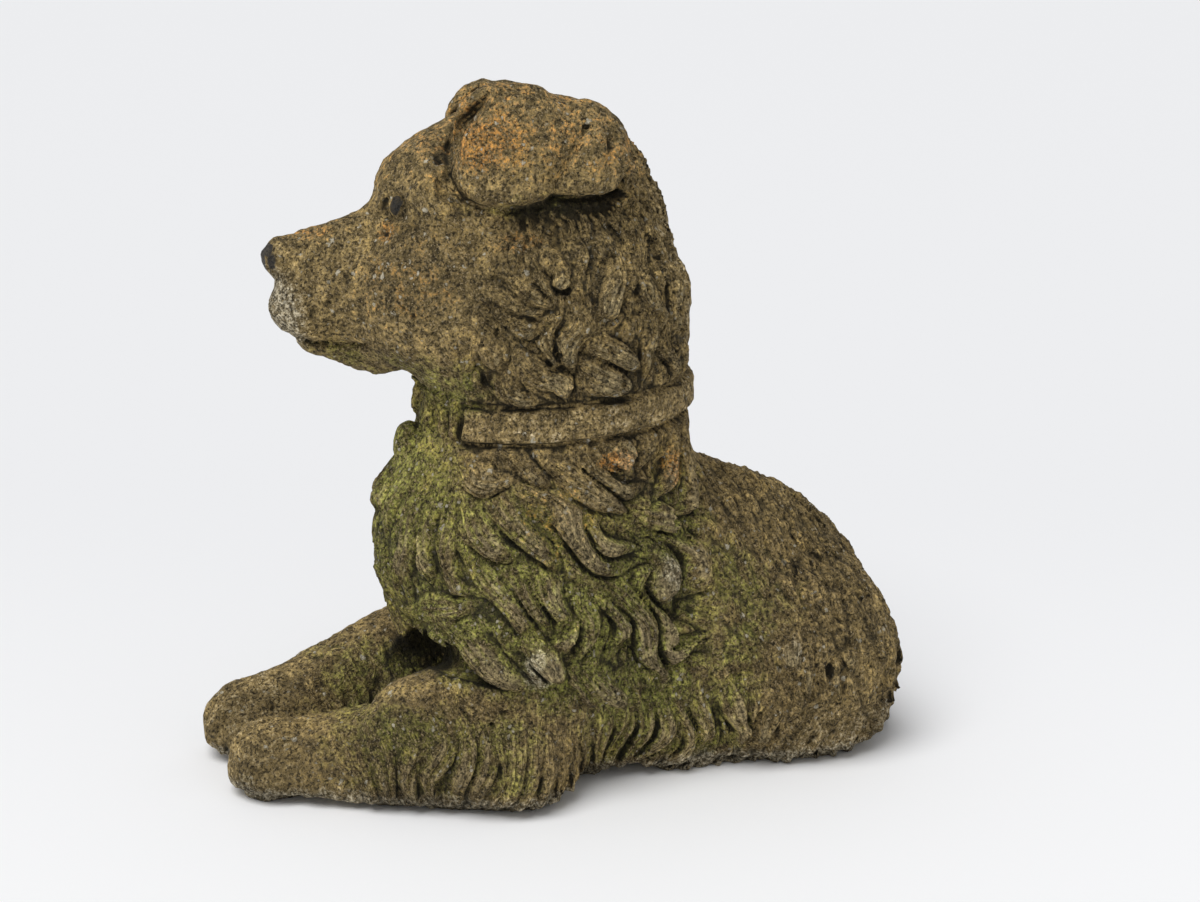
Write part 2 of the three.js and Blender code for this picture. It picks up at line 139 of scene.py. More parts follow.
@dataclass(frozen=True)
class Mass(Form):
    """An ellipsoid."""

    centre: Place
    radii: Place

    def distance(self, p: Array) -> Array:
        """The scaled radius r times r less one, over the length of the slope of that radius.

        Args:
            p: places in drawing units.

        Returns:
            The distance at each place.
        """
        scaled = [(p[k] - self.centre[k]) / self.radii[k] for k in range(3)]
        near = np.sqrt(sum(s * s for s in scaled))
        slope = np.sqrt(sum((s / r) ** 2 for s, r in zip(scaled, self.radii)))
        return near * (near - 1.0) / (slope + TINY)


@dataclass(frozen=True)
class Limb(Form):
    """A round limb from one place to another, with a radius at each."""

    start: Place
    end: Place
    start_radius: float
    end_radius: float

    def distance(self, p: Array) -> Array:
        """The distance to the nearest place on the line, less the radius there.

        Args:
            p: places in drawing units.

        Returns:
            The distance at each place.
        """
        run = [e - s for s, e in zip(self.start, self.end)]
        length_squared = sum(d * d for d in run) + TINY
        t = sum((p[k] - self.start[k]) * run[k] for k in range(3)) / length_squared
        t = np.clip(t, 0.0, 1.0)
        gap = np.sqrt(sum((p[k] - self.start[k] - t * run[k]) ** 2 for k in range(3)))
        return gap - self.start_radius - (self.end_radius - self.start_radius) * t


@dataclass(frozen=True)
class Below(Form):
    """Everything below a height."""

    height: float

    def distance(self, p: Array) -> Array:
        """The rise above the height."""
        return p[2] - self.height


def soft_min(a: Array, b: Array, blend: float) -> Array:
    """The smaller of two distances, rounded where they are within blend of each other."""
    overlap = np.maximum(blend - np.abs(a - b), 0.0) / blend
    return np.minimum(a, b) - overlap * overlap * blend / 4.0


@dataclass(frozen=True)
class Joined(Form):
    """A form with others joined to it, each with its own blend radius."""

    first: Form
    others: tuple[tuple[Form, float], ...]

    def distance(self, p: Array) -> Array:
        """The soft minimum of all the distances.

        Args:
            p: places in drawing units.

        Returns:
            The distance at each place.
        """
        d = self.first.distance(p)
        for form, blend in self.others:
            d = soft_min(d, form.distance(p), blend)
        return d


@dataclass(frozen=True)
class Carved(Form):
    """A form with tools cut out of it, each with its own edge radius."""

    first: Form
    tools: tuple[tuple[Form, float], ...]

    def distance(self, p: Array) -> Array:
        """The soft maximum of the form's distance and each tool's distance turned inside out.

        Args:
            p: places in drawing units.

        Returns:
            The distance at each place.
        """
        d = self.first.distance(p)
        for form, blend in self.tools:
            d = -soft_min(-d, form.distance(p), blend)
        return d


@dataclass(frozen=True)
class Mirrored(Form):
    """A form on the left side and its mirror image on the right."""

    form: Form

    def distance(self, p: Array) -> Array:
        """The form's distance with every place moved to the left side."""
        return self.form.distance(folded(p))


@dataclass(frozen=True)
class HeadPose:
    """How the head sits on the neck: drawn straight, then turned to its right and tilted."""

    axis_y: float = -24.0
    turn: float = math.radians(7.0)
    tilt: float = math.radians(5.0)
    tilt_height: float = 240.0
    tilt_start: float = 185.0

    def local(self, p: Array) -> Array:
        """Gives places in the straight head's own frame.

        Args:
            p: places in drawing units.

        Returns:
            Places across, along and above, with the tilt eased in above the neck.
        """
        back = p[1] - self.axis_y
        across = p[0] * math.cos(self.turn) - back * math.sin(self.turn)
        along = p[0] * math.sin(self.turn) + back * math.cos(self.turn)
        rise = p[2] - self.tilt_height
        share = smooth_step(self.tilt_start, self.tilt_height + 5.0, p[2])
        tilted_across = across * math.cos(self.tilt) + rise * math.sin(self.tilt)
        tilted_rise = rise * math.cos(self.tilt) - across * math.sin(self.tilt)
        return np.stack(
            [
                across + (tilted_across - across) * share,
                along,
                p[2] + (tilted_rise - rise) * share,
            ]
        )


POSE = HeadPose()


def neck_angle(p: Array) -> Array:
    """Degrees from the front about the neck's axis, positive on the left: the arc tangent of x over -y."""
    return np.degrees(np.arctan2(p[0], POSE.axis_y - p[1]))


@dataclass(frozen=True)
class Posed(Form):
    """A form drawn in the straight head's frame."""

    form: Form
    pose: HeadPose = POSE

    def distance(self, p: Array) -> Array:
        """The form's distance at the places in the head's frame."""
        return self.form.distance(self.pose.local(p))


# Sub-assemblies


@dataclass(frozen=True)
class Head:
    """The head in its own frame: skull, muzzle, nose, eyes and folded ears."""

    eye_centre: Place = (22.0, -67.5, 268.5)
    eye_radii: Place = (7.5, 7.5, 7.0)
    nose_centre: Place = (0.0, -122.0, 244.0)
    nose_radii: Place = (12.0, 10.5, 9.0)
    ear_rims: tuple[float, float] = (268.0, 273.0)
    mouth: tuple[Node2, ...] = (
        (-130, 218), (-124, 214), (-118, 210), (-110, 206.5), (-100, 206), (-86, 207)
    )
    upper_lid: tuple[Node2, ...] = ((-80, 266), (-77, 273), (-70, 275), (-64, 270))
    lower_lid: tuple[Node2, ...] = ((-79, 263), (-74, 260.5), (-66, 262))
    ear_edge: tuple[Node2, ...] = (
        (-30, 318), (-41, 306), (-47, 294), (-48, 281), (-43, 272), (-35, 268.5),
        (-22, 267.5), (-9, 269), (-3, 273), (5, 272), (15, 272), (25, 274), (29, 281),
    )
    ear_fold: tuple[Node2, ...] = ((-3, 273), (-2, 280), (2, 287), (8, 296), (12, 303))

    def muzzle(self) -> Form:
        """The muzzle with its bridge, lips and lower jaw."""
        return Joined(
            Limb((0, -106, 232), (0, -74, 228), 19, 35),
            (
                (Limb((0, -118, 244), (0, -74, 253), 9.5, 17), 10),
                (Mirrored(Mass((9, -108, 223), (15, 22, 15))), 6),
                (Limb((0, -107, 209), (0, -82, 204), 10.5, 15), 6),
            ),
        )

    def ear(self) -> Form:
        """One folded ear: a flap in two lobes that end at one rim, with a groove between them.

        Returns:
            The ear on the left, in the straight head's frame.
        """
        front = Joined(
            Mass((42, -18, 294), (17, 28, 29)),
            ((Mass((41, -31, 303), (14, 15, 17)), 5),),
        )
        rear = Mass((39, 12, 289), (17, 20, 26))
        flap = Joined(
            Carved(front, ((Below(self.ear_rims[0]), 4),)),
            ((Carved(rear, ((Below(self.ear_rims[1]), 4),)), 5),),
        )
        return Carved(
            flap,
            (
                (Limb((57, 7, 300), (59, -6, 278), 2.8, 3.8), 3),
                (Limb((52, 24, 298), (56, 20, 277), 1.8, 2.8), 3),
            ),
        )

    def nose(self) -> Form:
        """The nose pad with comma nostrils."""
        pad = Joined(
            Mass(self.nose_centre, self.nose_radii),
            ((Mass((0, -122.5, 246), (10, 8, 6)), 3),),
        )
        return Carved(
            pad, ((Mirrored(Limb((11, -129, 243), (9, -128, 235), 2.8, 2.4)), 1.5),)
        )

    def creases(self, p: Array, normal: Array) -> Array:
        """The drawn lines of the face as heights: the mouth cut in, the lids raised.

        Args:
            p: places in drawing units.
            normal: the form's outward direction at each place.

        Returns:
            The height each line adds to the surface.
        """
        _, y, z = POSE.local(p)
        aside = smooth_step(0.15, 0.4, np.abs(normal[0])) * (z > 195.0)
        mouth = line_gap(self.mouth, y, z)
        lids = np.minimum(
            line_gap(self.upper_lid, y, z), line_gap(self.lower_lid, y, z)
        )
        lip = bell(0.0, 2.6, line_gap(self.mouth, y, z - 4.5))
        cut = -3.2 * bell(0.0, 1.5, mouth) + 1.2 * lip
        edge = -3.6 * bell(0.0, 1.8, line_gap(self.ear_edge, y, z))
        hem = 2.2 * bell(0.0, 3.4, line_gap(self.ear_edge, y - 3.5, z - 4.5))
        below = -2.4 * bell(0.0, 4.5, line_gap(self.ear_edge, y + 4.0, z + 5.0))
        fold = -3.0 * bell(0.0, 2.0, line_gap(self.ear_fold, y, z))
        return aside * (
            cut + 1.2 * bell(0.0, 1.5, lids) + edge + hem + below + fold
        )

    def form(self) -> Form:
        """The whole head.

        Returns:
            The head, turned and tilted as it sits on the neck.
        """
        skull = Joined(
            Mass((0, -12, 256), (50, 63, 61)),
            (
                (Mass((0, -3, 222), (58, 60, 56)), 22),
                (Mirrored(Mass((17, -1, 293), (30, 28, 22))), 9),
                (Mirrored(Mass((24, -42, 226), (27, 40, 38))), 16),
                (Mirrored(Mass((12, -57, 277), (19, 22, 18))), 14),
                (Mirrored(Mass((32, -42, 272), (19, 24, 18))), 12),
                (self.muzzle(), 12),
            ),
        )
        face = Carved(
            skull,
            (
                (Limb((0, -136, 218), (0, -124, 214), 2.4, 2.4), 2),
                (Mirrored(Mass((27, -73, 268.5), (7.5, 7.0, 7.0))), 4),
                (Mirrored(Limb((22, -78, 264), (14, -86, 258), 1.6, 1.2)), 3),
            ),
        )
        features = Joined(
            face,
            (
                (self.nose(), 2.5),
                (Mirrored(Mass(self.eye_centre, self.eye_radii)), 0.6),
                (Mirrored(self.ear()), 2.5),
            ),
        )
        return Posed(
            Carved(
                features,
                (
                    (Mirrored(Limb((59, -38, 257), (57, 28, 261), 11, 11)), 3),
                    (Mirrored(Limb((50, -37, 313), (45, -47, 297), 3.4, 4.4)), 2),
                    (Mirrored(Limb((45, -47, 297), (46, -49, 280), 4.4, 4.4)), 2),
                    (Mirrored(Limb((46, -49, 280), (52, -38, 268), 4.4, 4.0)), 2),
                    (Limb((0, -134, 237), (0, -133, 219), 1.3, 1.3), 1.5),
                ),
            )
        )


@dataclass(frozen=True)
class Neck(Form):
    """The upright elliptic column of the neck."""

    radius_x: float = 57.0
    radius_y: float = 62.5
    middle_y: float = -21.0
    middle: float = 175.0
    half_height: float = 60.0
    rounding: float = 10.0

    def distance(self, p: Array) -> Array:
        """The scaled distance to the axis less one, softly limited to the column's height.

        Args:
            p: places in drawing units.

        Returns:
            The distance at each place.
        """
        radius = np.hypot(p[0] / self.radius_x, (p[1] - self.middle_y) / self.radius_y)
        around = (radius - 1.0) * self.half_height
        return -soft_min(
            -around, self.half_height - np.abs(p[2] - self.middle), self.rounding
        )


@dataclass(frozen=True)
class Collar:
    """The flat collar, cast on, and its medallion at the throat."""

    width: float = 15.0
    thickness: float = 2.6
    height: float = 176.0
    rise: float = 0.06
    tuft_angle: float = 36.0
    lowest: float = 130.0
    seam: float = 2.2
    medallion_centre: Place = (0.0, -92.0, 155.0)
    medallion_size: Place = (20.0, 15.0, 25.0)

    def medallion(self) -> Form:
        """The medallion as a small thick disc."""
        width, thickness, height = self.medallion_size
        return Mass(self.medallion_centre, (width / 2, thickness / 2, height / 2))

    def edge(self, p: Array) -> Array:
        """The distance up or down from the nearer edge of the band, negative on it."""
        middle = self.height + self.rise * (p[1] - POSE.axis_y)
        return np.abs(p[2] - middle) - self.width / 2

    def share(self, p: Array) -> Array:
        """Gives 1 on the band and 0 off it, eased across its edges.

        Args:
            p: places in drawing units.

        Returns:
            The share at each place.
        """
        on = smooth_step(1.0, -1.0, self.edge(p)) * (p[2] > self.lowest)
        return on * (np.abs(neck_angle(p)) > self.tuft_angle)

    def relief(self, p: Array) -> Array:
        """The band's height over the neck: its thickness on it, less a bell-shaped seam along its edges.

        Args:
            p: places in drawing units.

        Returns:
            The height at each place.
        """
        edge = self.edge(p)
        angle = np.abs(neck_angle(p))
        high = p[2] > self.lowest
        shown = smooth_step(self.tuft_angle - 1.0, self.tuft_angle + 1.0, angle) * high
        end = bell(self.tuft_angle - 1.0, 1.6, angle) * (edge < 2.0) * high
        band = 1.0 - smooth_step(-1.3, 0.4, edge)
        seam = bell(1.6, 1.7, edge)
        return (
            shown * (band * self.thickness - seam * self.seam) - end * self.seam * 0.8
        )


@dataclass(frozen=True)
class Trunk:
    """The barrel, haunches and mane, with the hollow under the chest."""

    collar: Collar
    head: Head

    def form(self) -> Form:
        """The body with the neck and head on it."""
        body = Joined(
            Mass((0, 20, 0), (48, 130, 139)),
            (
                (Mass((0, 28, 60), (57, 99, 73)), 25),
                (Mirrored(Mass((34, 94, 42), (31, 46, 49))), 22),
                (Mass((0, -38, 108), (68, 71, 72)), 20),
                (Mirrored(Mass((48, -42, 62), (29, 46, 54))), 18),
                (Neck(), 18),
                (self.head.form(), 14),
                (self.collar.medallion(), 1.2),
            ),
        )
        return Carved(
            body,
            ((Mass((4, -92, 50), (15, 20, 15)), 6),),
        )


@dataclass(frozen=True)
class Forelegs:
    """The two forelegs on the ground, the near one crossing in front."""

    def masses(self) -> tuple[tuple[Form, float], ...]:
        """The legs, elbows, paws and the web of stone between them, each with its blend."""
        return (
            (Limb((57, -58, 21), (24, -160, 11), 32, 21), 8),
            (Limb((-48, -70, 37), (-26, -160, 14), 32, 22), 8),
            (Limb((-54, -58, 24), (-48, -80, 24), 28, 28), 6),
            (Mass((48, -92, 37), (20, 30, 23)), 9),
            (Mass((23, -163, 12), (23, 21, 22)), 6),
            (Mass((-25, -170, 15), (22, 22, 21)), 6),
            (Limb((0, -90, 8), (-2, -165, 8), 18, 14), 8),
        )

    def grooves(self) -> tuple[tuple[Form, float], ...]:
        """The grooves between the toes, the slot under the mane, and the hollows under elbows and paws.

        Returns:
            The tools to cut with, each with its edge radius.
        """
        toes = (
            ((36, -141, 38), (41, -158, 31), (45, -169, 17)),
            ((21, -156, 40), (25, -171, 35), (27, -187, 17)),
            ((-14, -162, 35), (-10, -177, 30), (-8, -188, 14)),
            ((-26, -176, 36), (-22, -188, 26), (-19, -194, 14)),
            ((-40, -160, 33), (-43, -172, 26), (-44, -180, 12)),
        )
        cuts = [
            (Limb(start, end, 1.2 + 0.5 * k, 1.7 + 0.3 * k), 2.5)
            for toe in toes
            for k, (start, end) in enumerate(zip(toe, toe[1:]))
        ]
        return (
            *cuts,
            (Limb((-6, -92, 50), (24, -90, 62), 13, 11), 3),
            (Limb((24, -90, 66), (56, -83, 69), 10, 7), 2.5),
            (Limb((56, -83, 69), (80, -58, 60), 7, 2.5), 2.5),
            (Mirrored(Mass((64, 2, -3), (30, 16, 9))), 4),
            (Mass((52, -150, -3), (14, 26, 8)), 4),
            (Mass((-25, -194, -3), (24, 13, 11)), 4),
        )


# Locks of hair


@dataclass(frozen=True)
class Lock:
    """A lock of hair on a chart, from its root to its tip.

    nodes are the places on its middle line, width is its greatest width and lift its height over the
    stone. A smooth lock has no grooves between strands.
    """

    nodes: tuple[Node2, ...]
    width: float
    lift: float
    smooth: bool = False

    def line(self, per_span: int = 5) -> Array:
        """The middle line, as a Catmull-Rom curve through the nodes.

        Args:
            per_span: steps between two nodes.

        Returns:
            Places on the chart, as rows.
        """
        n = np.array(self.nodes, float)
        n = np.vstack([2 * n[0] - n[1], n, 2 * n[-1] - n[-2]])
        t = np.linspace(0.0, 1.0, per_span, endpoint=False)[None, :, None]
        a, b, c, d = (n[k : len(n) - 3 + k, None, :] for k in range(4))
        curve = 0.5 * (
            2 * b
            + (c - a) * t
            + (2 * a - 5 * b + 4 * c - d) * t * t
            + (3 * b - a - 3 * c + d) * t**3
        )
        return np.vstack([curve.reshape(-1, 2), n[-2]])

    def turned(self, scale: Node2, shift: Node2 = (0.0, 0.0)) -> Lock:
        """The same lock with its places scaled and moved."""
        nodes = tuple(
            (a * scale[0] + shift[0], b * scale[1] + shift[1]) for a, b in self.nodes
        )
        return replace(self, nodes=nodes)


@dataclass
class Chart:
    """A flat map of part of the surface, on which locks are laid and read back.

    It holds the height of the hair, the place across its lock and the lock's own shade, on a raster.
    """

    low: Node2
    high: Node2
    pixel: float = 0.6
    strand_depth: float = 2.3
    strand_width: float = 4.2
    roundness: float = 0.45
    trench_width: float = 1.1
    trench_depth: float = 0.22
    height: Array = field(init=False)
    across: Array = field(init=False)
    shade: Array = field(init=False)

    def __post_init__(self) -> None:
        """Makes the empty rasters."""
        size = [
            int(math.ceil((h - l) / self.pixel)) + 1
            for l, h in zip(self.low, self.high)
        ]
        self.height = np.zeros(size, np.float32)
        self.across = np.zeros(size, np.float32)
        self.shade = np.zeros(size, np.float32)

    def lay(self, lock: Lock, shade: float) -> None:
        """Lays a lock over what is there, and presses a trench into what it lies on along its edge.

        The lock widens from its root and closes to a pointed tip. It rises out of what is there from root to
        tip, is round across, and has cosine grooves between its strands.

        Args:
            lock: the lock, in the chart's places.
            shade: the lock's own shade, from -1 to 1.
        """
        line = lock.line()
        window = self.window(line, lock.width / 2 + 2.5 * self.trench_width)
        if window is None:
            return
        gap, side, along = self.beside(line, window)
        half = lock.width / 2 * self.taper(along)
        s = side * gap / (half + TINY)
        top = self.relief(lock, s, along, shade)
        old = self.height[window]
        inside = gap < half
        pressing = smooth_step(0.15, 0.6, along)
        trench = pressing * bell(0.0, self.trench_width, np.maximum(gap - half, 0.0))
        pressed = old * (1 - 0.85 * trench) - self.trench_depth * lock.lift * trench
        laid = np.maximum(top, old * (1 - smooth_step(0.0, 0.3, along)))
        self.height[window] = np.where(inside, laid, pressed)
        won = inside & (top >= laid - TINY)
        self.across[window] = np.where(won, s * lock.width / 2, self.across[window])
        self.shade[window] = np.where(won, shade, self.shade[window])

    def window(self, line: Array, reach: float) -> tuple[slice, slice] | None:
        """The part of the rasters that a line and its surroundings cover.

        Args:
            line: places on the line, as rows.
            reach: how far beside the line the surroundings go.

        Returns:
            The rows and columns, or None where all of it is off the chart.
        """
        lowest = (line.min(0) - reach - self.low) / self.pixel
        highest = (line.max(0) + reach - self.low) / self.pixel
        first = np.maximum(np.floor(lowest).astype(int), 0)
        last = np.minimum(np.ceil(highest).astype(int) + 1, self.height.shape)
        if np.any(last <= first):
            return None
        return slice(first[0], last[0]), slice(first[1], last[1])

    def beside(self, line: Array, window: tuple[slice, slice]) -> tuple[Array, ...]:
        """Finds where each pixel of a window lies beside a line, by its nearest span.

        Args:
            line: places on the line, as rows.
            window: the rows and columns.

        Returns:
            The distance to the line, the side of it as 1 or -1, and the place along it from 0 to 1.
        """
        a, b = (
            np.arange(part.start, part.stop) * self.pixel + low
            for part, low in zip(window, self.low)
        )
        a, b = np.meshgrid(a, b, indexing="ij")
        start, run = line[:-1], np.diff(line, axis=0)
        length_squared = (run**2).sum(1) + TINY
        ra, rb = a[..., None] - start[:, 0], b[..., None] - start[:, 1]
        t = np.clip((ra * run[:, 0] + rb * run[:, 1]) / length_squared, 0.0, 1.0)
        gap = np.hypot(ra - t * run[:, 0], rb - t * run[:, 1])
        best = gap.argmin(-1)[..., None]
        gap, t, side = (
            np.take_along_axis(v, best, -1)[..., 0]
            for v in (gap, t, rb * run[:, 0] - ra * run[:, 1])
        )
        return gap, np.sign(side), (best[..., 0] + t) / len(run)

    @staticmethod
    def taper(along: Array) -> Array:
        """A lock's share of its width: eased open from the root, and closed to the tip by a power."""
        opened = 0.45 + 0.55 * smooth_step(0.0, 0.45, along)
        return opened * (1 - along**2.3 + TINY) ** 0.8

    def relief(self, lock: Lock, s: Array, along: Array, shade: float) -> Array:
        """A lock's height: round across and rising along, less cosine grooves between its strands.

        Args:
            lock: the lock.
            s: places across it, from -1 to 1.
            along: places along it, from 0 to 1.
            shade: the lock's own shade, from -1 to 1.

        Returns:
            The height at each place.
        """
        strands = 1 if lock.smooth else max(1, round(lock.width / self.strand_width))
        place = (s + 1) / 2 * strands + 0.3 * np.sin(7.0 * along + 6.0 * shade)
        own = np.sin(np.floor(place) * 12.99 + 7.0 * shade + 1.3)
        flat_top = np.clip(1 - s * s, 0.0, 1.0) ** self.roundness
        closing = np.clip(5 * (1 - along * (1.08 + 0.10 * own)), 0.0, 1.0)
        rise = (0.35 + 0.65 * smooth_step(0.0, 0.7, along)) * closing
        groove = (0.5 + 0.5 * np.cos(2 * math.pi * place)) ** 1.4 * (strands > 1)
        depth = self.strand_depth * min(1.0, lock.lift / 3.5)
        return (
            lock.lift * rise * flat_top * (1 + 0.13 * own * (strands > 1))
            - depth * groove * smooth_step(0.0, 0.2, along) * flat_top
        )

    def read(self, values: Array, a: Array, b: Array) -> Array:
        """Reads a raster between its pixels, by bilinear steps.

        Args:
            values: one of the chart's rasters.
            a: first place of each point.
            b: second place of each point.

        Returns:
            The raster's value at each point.
        """
        u = np.clip((a - self.low[0]) / self.pixel, 0, values.shape[0] - 1.001)
        v = np.clip((b - self.low[1]) / self.pixel, 0, values.shape[1] - 1.001)
        i, j = u.astype(np.int32), v.astype(np.int32)
        u, v = u - i, v - j
        return (values[i, j] * (1 - u) + values[i + 1, j] * u) * (1 - v) + (
            values[i, j + 1] * (1 - u) + values[i + 1, j + 1] * u
        ) * v

    def read_nearest(self, values: Array, a: Array, b: Array) -> Array:
        """Reads a raster at the nearest pixel.

        Args:
            values: one of the chart's rasters.
            a: first place of each point.
            b: second place of each point.

        Returns:
            The raster's value at each point.
        """
        u = np.clip(
            np.rint((a - self.low[0]) / self.pixel), 0, values.shape[0] - 1
        ).astype(np.int32)
        v = np.clip(
            np.rint((b - self.low[1]) / self.pixel), 0, values.shape[1] - 1
        ).astype(np.int32)
        return values[u, v]


@dataclass(frozen=True)
class Flow:
    """The way the coat lies on a chart, learnt from the locks that are drawn there."""

    places: Array
    directions: Array
    rest: Node2
    reach: float = 13.0
    hold: float = 0.6
    wavelength: float = 30.0

    @classmethod
    def along(cls, locks: Iterable[Lock], scale: Node2, rest: Node2) -> Flow:
        """Learns the flow.

        Args:
            locks: the drawn locks.
            scale: what their places are scaled by on the chart.
            rest: the direction where no lock is near.

        Returns:
            The flow.
        """
        lines = [lock.turned(scale).line() for lock in locks]
        runs = [np.diff(line, axis=0) for line in lines]
        lengths = [np.linalg.norm(run, axis=1, keepdims=True) + TINY for run in runs]
        return cls(
            np.vstack([line[:-1] for line in lines]),
            np.vstack([run / length for run, length in zip(runs, lengths)]),
            rest,
        )

    def at(self, place: Array) -> Array:
        """The direction at a place: the nearby directions, weighted by a bell of the distance.

        Args:
            place: the place on the chart.

        Returns:
            The direction, one long.
        """
        gap = ((self.places - place) ** 2).sum(1)
        weight = np.exp(-gap / (2 * self.reach**2))
        total = weight @ self.directions + self.hold * np.array(self.rest)
        return total / np.linalg.norm(total)

    def strand(self, root: Node2, length: float, wave: float, phase: float) -> tuple:
        """Follows the flow from a root, swinging to both sides of it.

        Args:
            root: where it starts.
            length: how far it runs.
            wave: how far it swings.
            phase: where in its swing it starts, in turns.

        Returns:
            The nodes of a lock.
        """
        place, nodes, spans = np.array(root, float), [], 5
        for k in range(spans + 1):
            way = self.at(place)
            turns = length * k / spans / self.wavelength + phase
            swing = wave * math.sin(2 * math.pi * turns) * min(1.0, 0.4 + 0.3 * k)
            nodes.append(
                (float(place[0] - way[1] * swing), float(place[1] + way[0] * swing))
            )
            place = place + way * length / spans
        return tuple(nodes)


class Patch(Enum):
    """The four charts of the coat."""

    RING = "round the neck and head"
    SIDE = "the belly's fringe and the forelegs"
    BARREL = "over the back and flanks"
    RUMP = "round the rump"


@dataclass
class Coat:
    """The coat of hair: its charts, its locks and how far each chart reaches."""

    collar: Collar
    head: Head
    ring_radius: float = 65.0
    barrel_height: float = 60.0
    barrel_radius: float = 72.0
    rump_y: float = 92.0
    rump_radius: float = 52.0
    mane_boldness: float = 1.2
    hair_boldness: float = 1.15
    seed: int = 11
    charts: dict[Patch, list[Chart]] = field(init=False)

    # Angle and height of each node, then width and lift, below the collar
    MANE = (
        Lock(((71, 82), (77, 70), (76, 55)), 15, 6.5, smooth=True),
        Lock(((119, 114), (126, 99), (129, 81)), 20, 6.5, smooth=True),
        Lock(((33, 163), (43, 155), (52, 149), (63, 151)), 17, 4.5),
        Lock(((52, 165), (66, 157), (78, 149)), 16, 4.5),
        Lock(((73, 166), (85, 154), (96, 141), (112, 132)), 17, 5.5),
        Lock(((92, 168), (97, 153), (107, 145), (122, 145)), 14, 5.5),
        Lock(((99, 169), (109, 160), (117, 149)), 11, 5),
        Lock(((119, 174), (123, 161), (118, 150)), 12, 4.5),
        Lock(((134, 174), (142, 158), (136, 145), (122, 136)), 14, 5),
        Lock(((156, 172), (158, 150), (145, 132), (134, 124)), 16, 5),
        Lock(((103, 141), (118, 134), (134, 124), (141, 111)), 15, 4.5),
        Lock(((42, 146), (49, 133), (57, 123), (67, 118)), 16, 4.5),
        Lock(((49, 148), (60, 138), (70, 124), (81, 111)), 15, 5),
        Lock(((61, 150), (80, 143), (87, 127), (95, 113), (118, 107)), 15, 6.5),
        Lock(((86, 144), (92, 130), (100, 120), (118, 113)), 12, 6),
        Lock(((109, 132), (128, 124), (139, 110), (141, 98), (134, 88)), 14, 5.5),
        Lock(((69, 140), (82, 134), (87, 121)), 12, 4.5),
        Lock(((64, 117), (76, 109), (81, 95), (79, 83)), 15, 5),
        Lock(((55, 125), (66, 111), (72, 95), (78, 81)), 14, 4.5),
        Lock(((47, 125), (56, 108), (64, 94), (73, 79)), 15, 5),
        Lock(((84, 101), (81, 86), (84, 69)), 11, 5),
        Lock(((91, 108), (89, 88), (88, 70)), 11, 4.5),
        Lock(((90, 110), (103, 100), (113, 83), (119, 60), (122, 41)), 17, 6.5),
        Lock(((96, 109), (101, 86), (103, 63)), 13, 5),
        Lock(((114, 107), (118, 83), (123, 65), (137, 70)), 19, 8),
        Lock(((87, 73), (94, 56), (109, 41)), 15, 6),
        Lock(((80, 76), (88, 59), (99, 38)), 15, 5.5),
        Lock(((38, 88), (52, 80), (60, 67), (69, 58)), 18, 7),
        Lock(((20, 84), (41, 93), (54, 98)), 15, 4),
        Lock(((24, 163), (13, 140), (12, 112)), 12, 4),
        Lock(((27, 161), (24, 137), (24, 107), (21, 84)), 12, 4),
        Lock(((31, 156), (30, 135), (32, 112), (40, 94)), 11, 4.5),
        Lock(((34, 157), (40, 136), (43, 109), (53, 94)), 12, 4.5),
        Lock(((16, 165), (6, 140), (4, 118)), 12, 4),
        Lock(((9, 186), (12, 172), (21, 160)), 9, 5),
        Lock(((21, 187), (24, 172), (27, 161)), 8, 5),
        Lock(((31, 186), (31, 173), (32, 163)), 7, 5),
    )

    # The same above the collar, behind the cheek
    HAIR = (
        Lock(((59, 250), (65, 238), (78, 228)), 11, 4.5),
        Lock(((71, 251), (75, 239), (78, 229)), 8, 4.5),
        Lock(((65, 251), (68, 236)), 8, 4),
        Lock(((81, 252), (84, 244), (78, 237)), 11, 5.5),
        Lock(((54, 238), (64, 231), (79, 228)), 10, 4),
        Lock(((57, 227), (67, 221), (79, 222)), 11, 4.5),
        Lock(((48, 225), (54, 209), (58, 200)), 12, 3.5),
        Lock(((39, 222), (38, 206), (37, 190)), 13, 3),
        Lock(((45, 220), (44, 206), (41, 195)), 10, 3.5),
        Lock(((63, 206), (73, 199), (82, 196), (88, 184)), 17, 6),
        Lock(((59, 202), (62, 189), (76, 184)), 14, 5),
        Lock(((87, 231), (91, 220), (86, 210), (82, 198)), 16, 5.5),
        Lock(((93, 222), (97, 213), (110, 205), (119, 198)), 15, 5.5),
        Lock(((84, 211), (96, 199), (108, 192), (120, 187)), 17, 6),
        Lock(((103, 259), (109, 242), (101, 230), (94, 221)), 14, 5),
        Lock(((115, 258), (114, 241), (108, 222)), 13, 4.5),
        Lock(((80, 236), (77, 221), (80, 208), (86, 196)), 13, 4.5),
        Lock(((114, 234), (123, 212), (120, 192)), 14, 5),
        Lock(((127, 262), (122, 238), (130, 214)), 14, 5),
        Lock(((129, 222), (137, 203), (144, 184)), 14, 5),
        Lock(((138, 266), (142, 240), (136, 222), (148, 206)), 14, 5),
    )

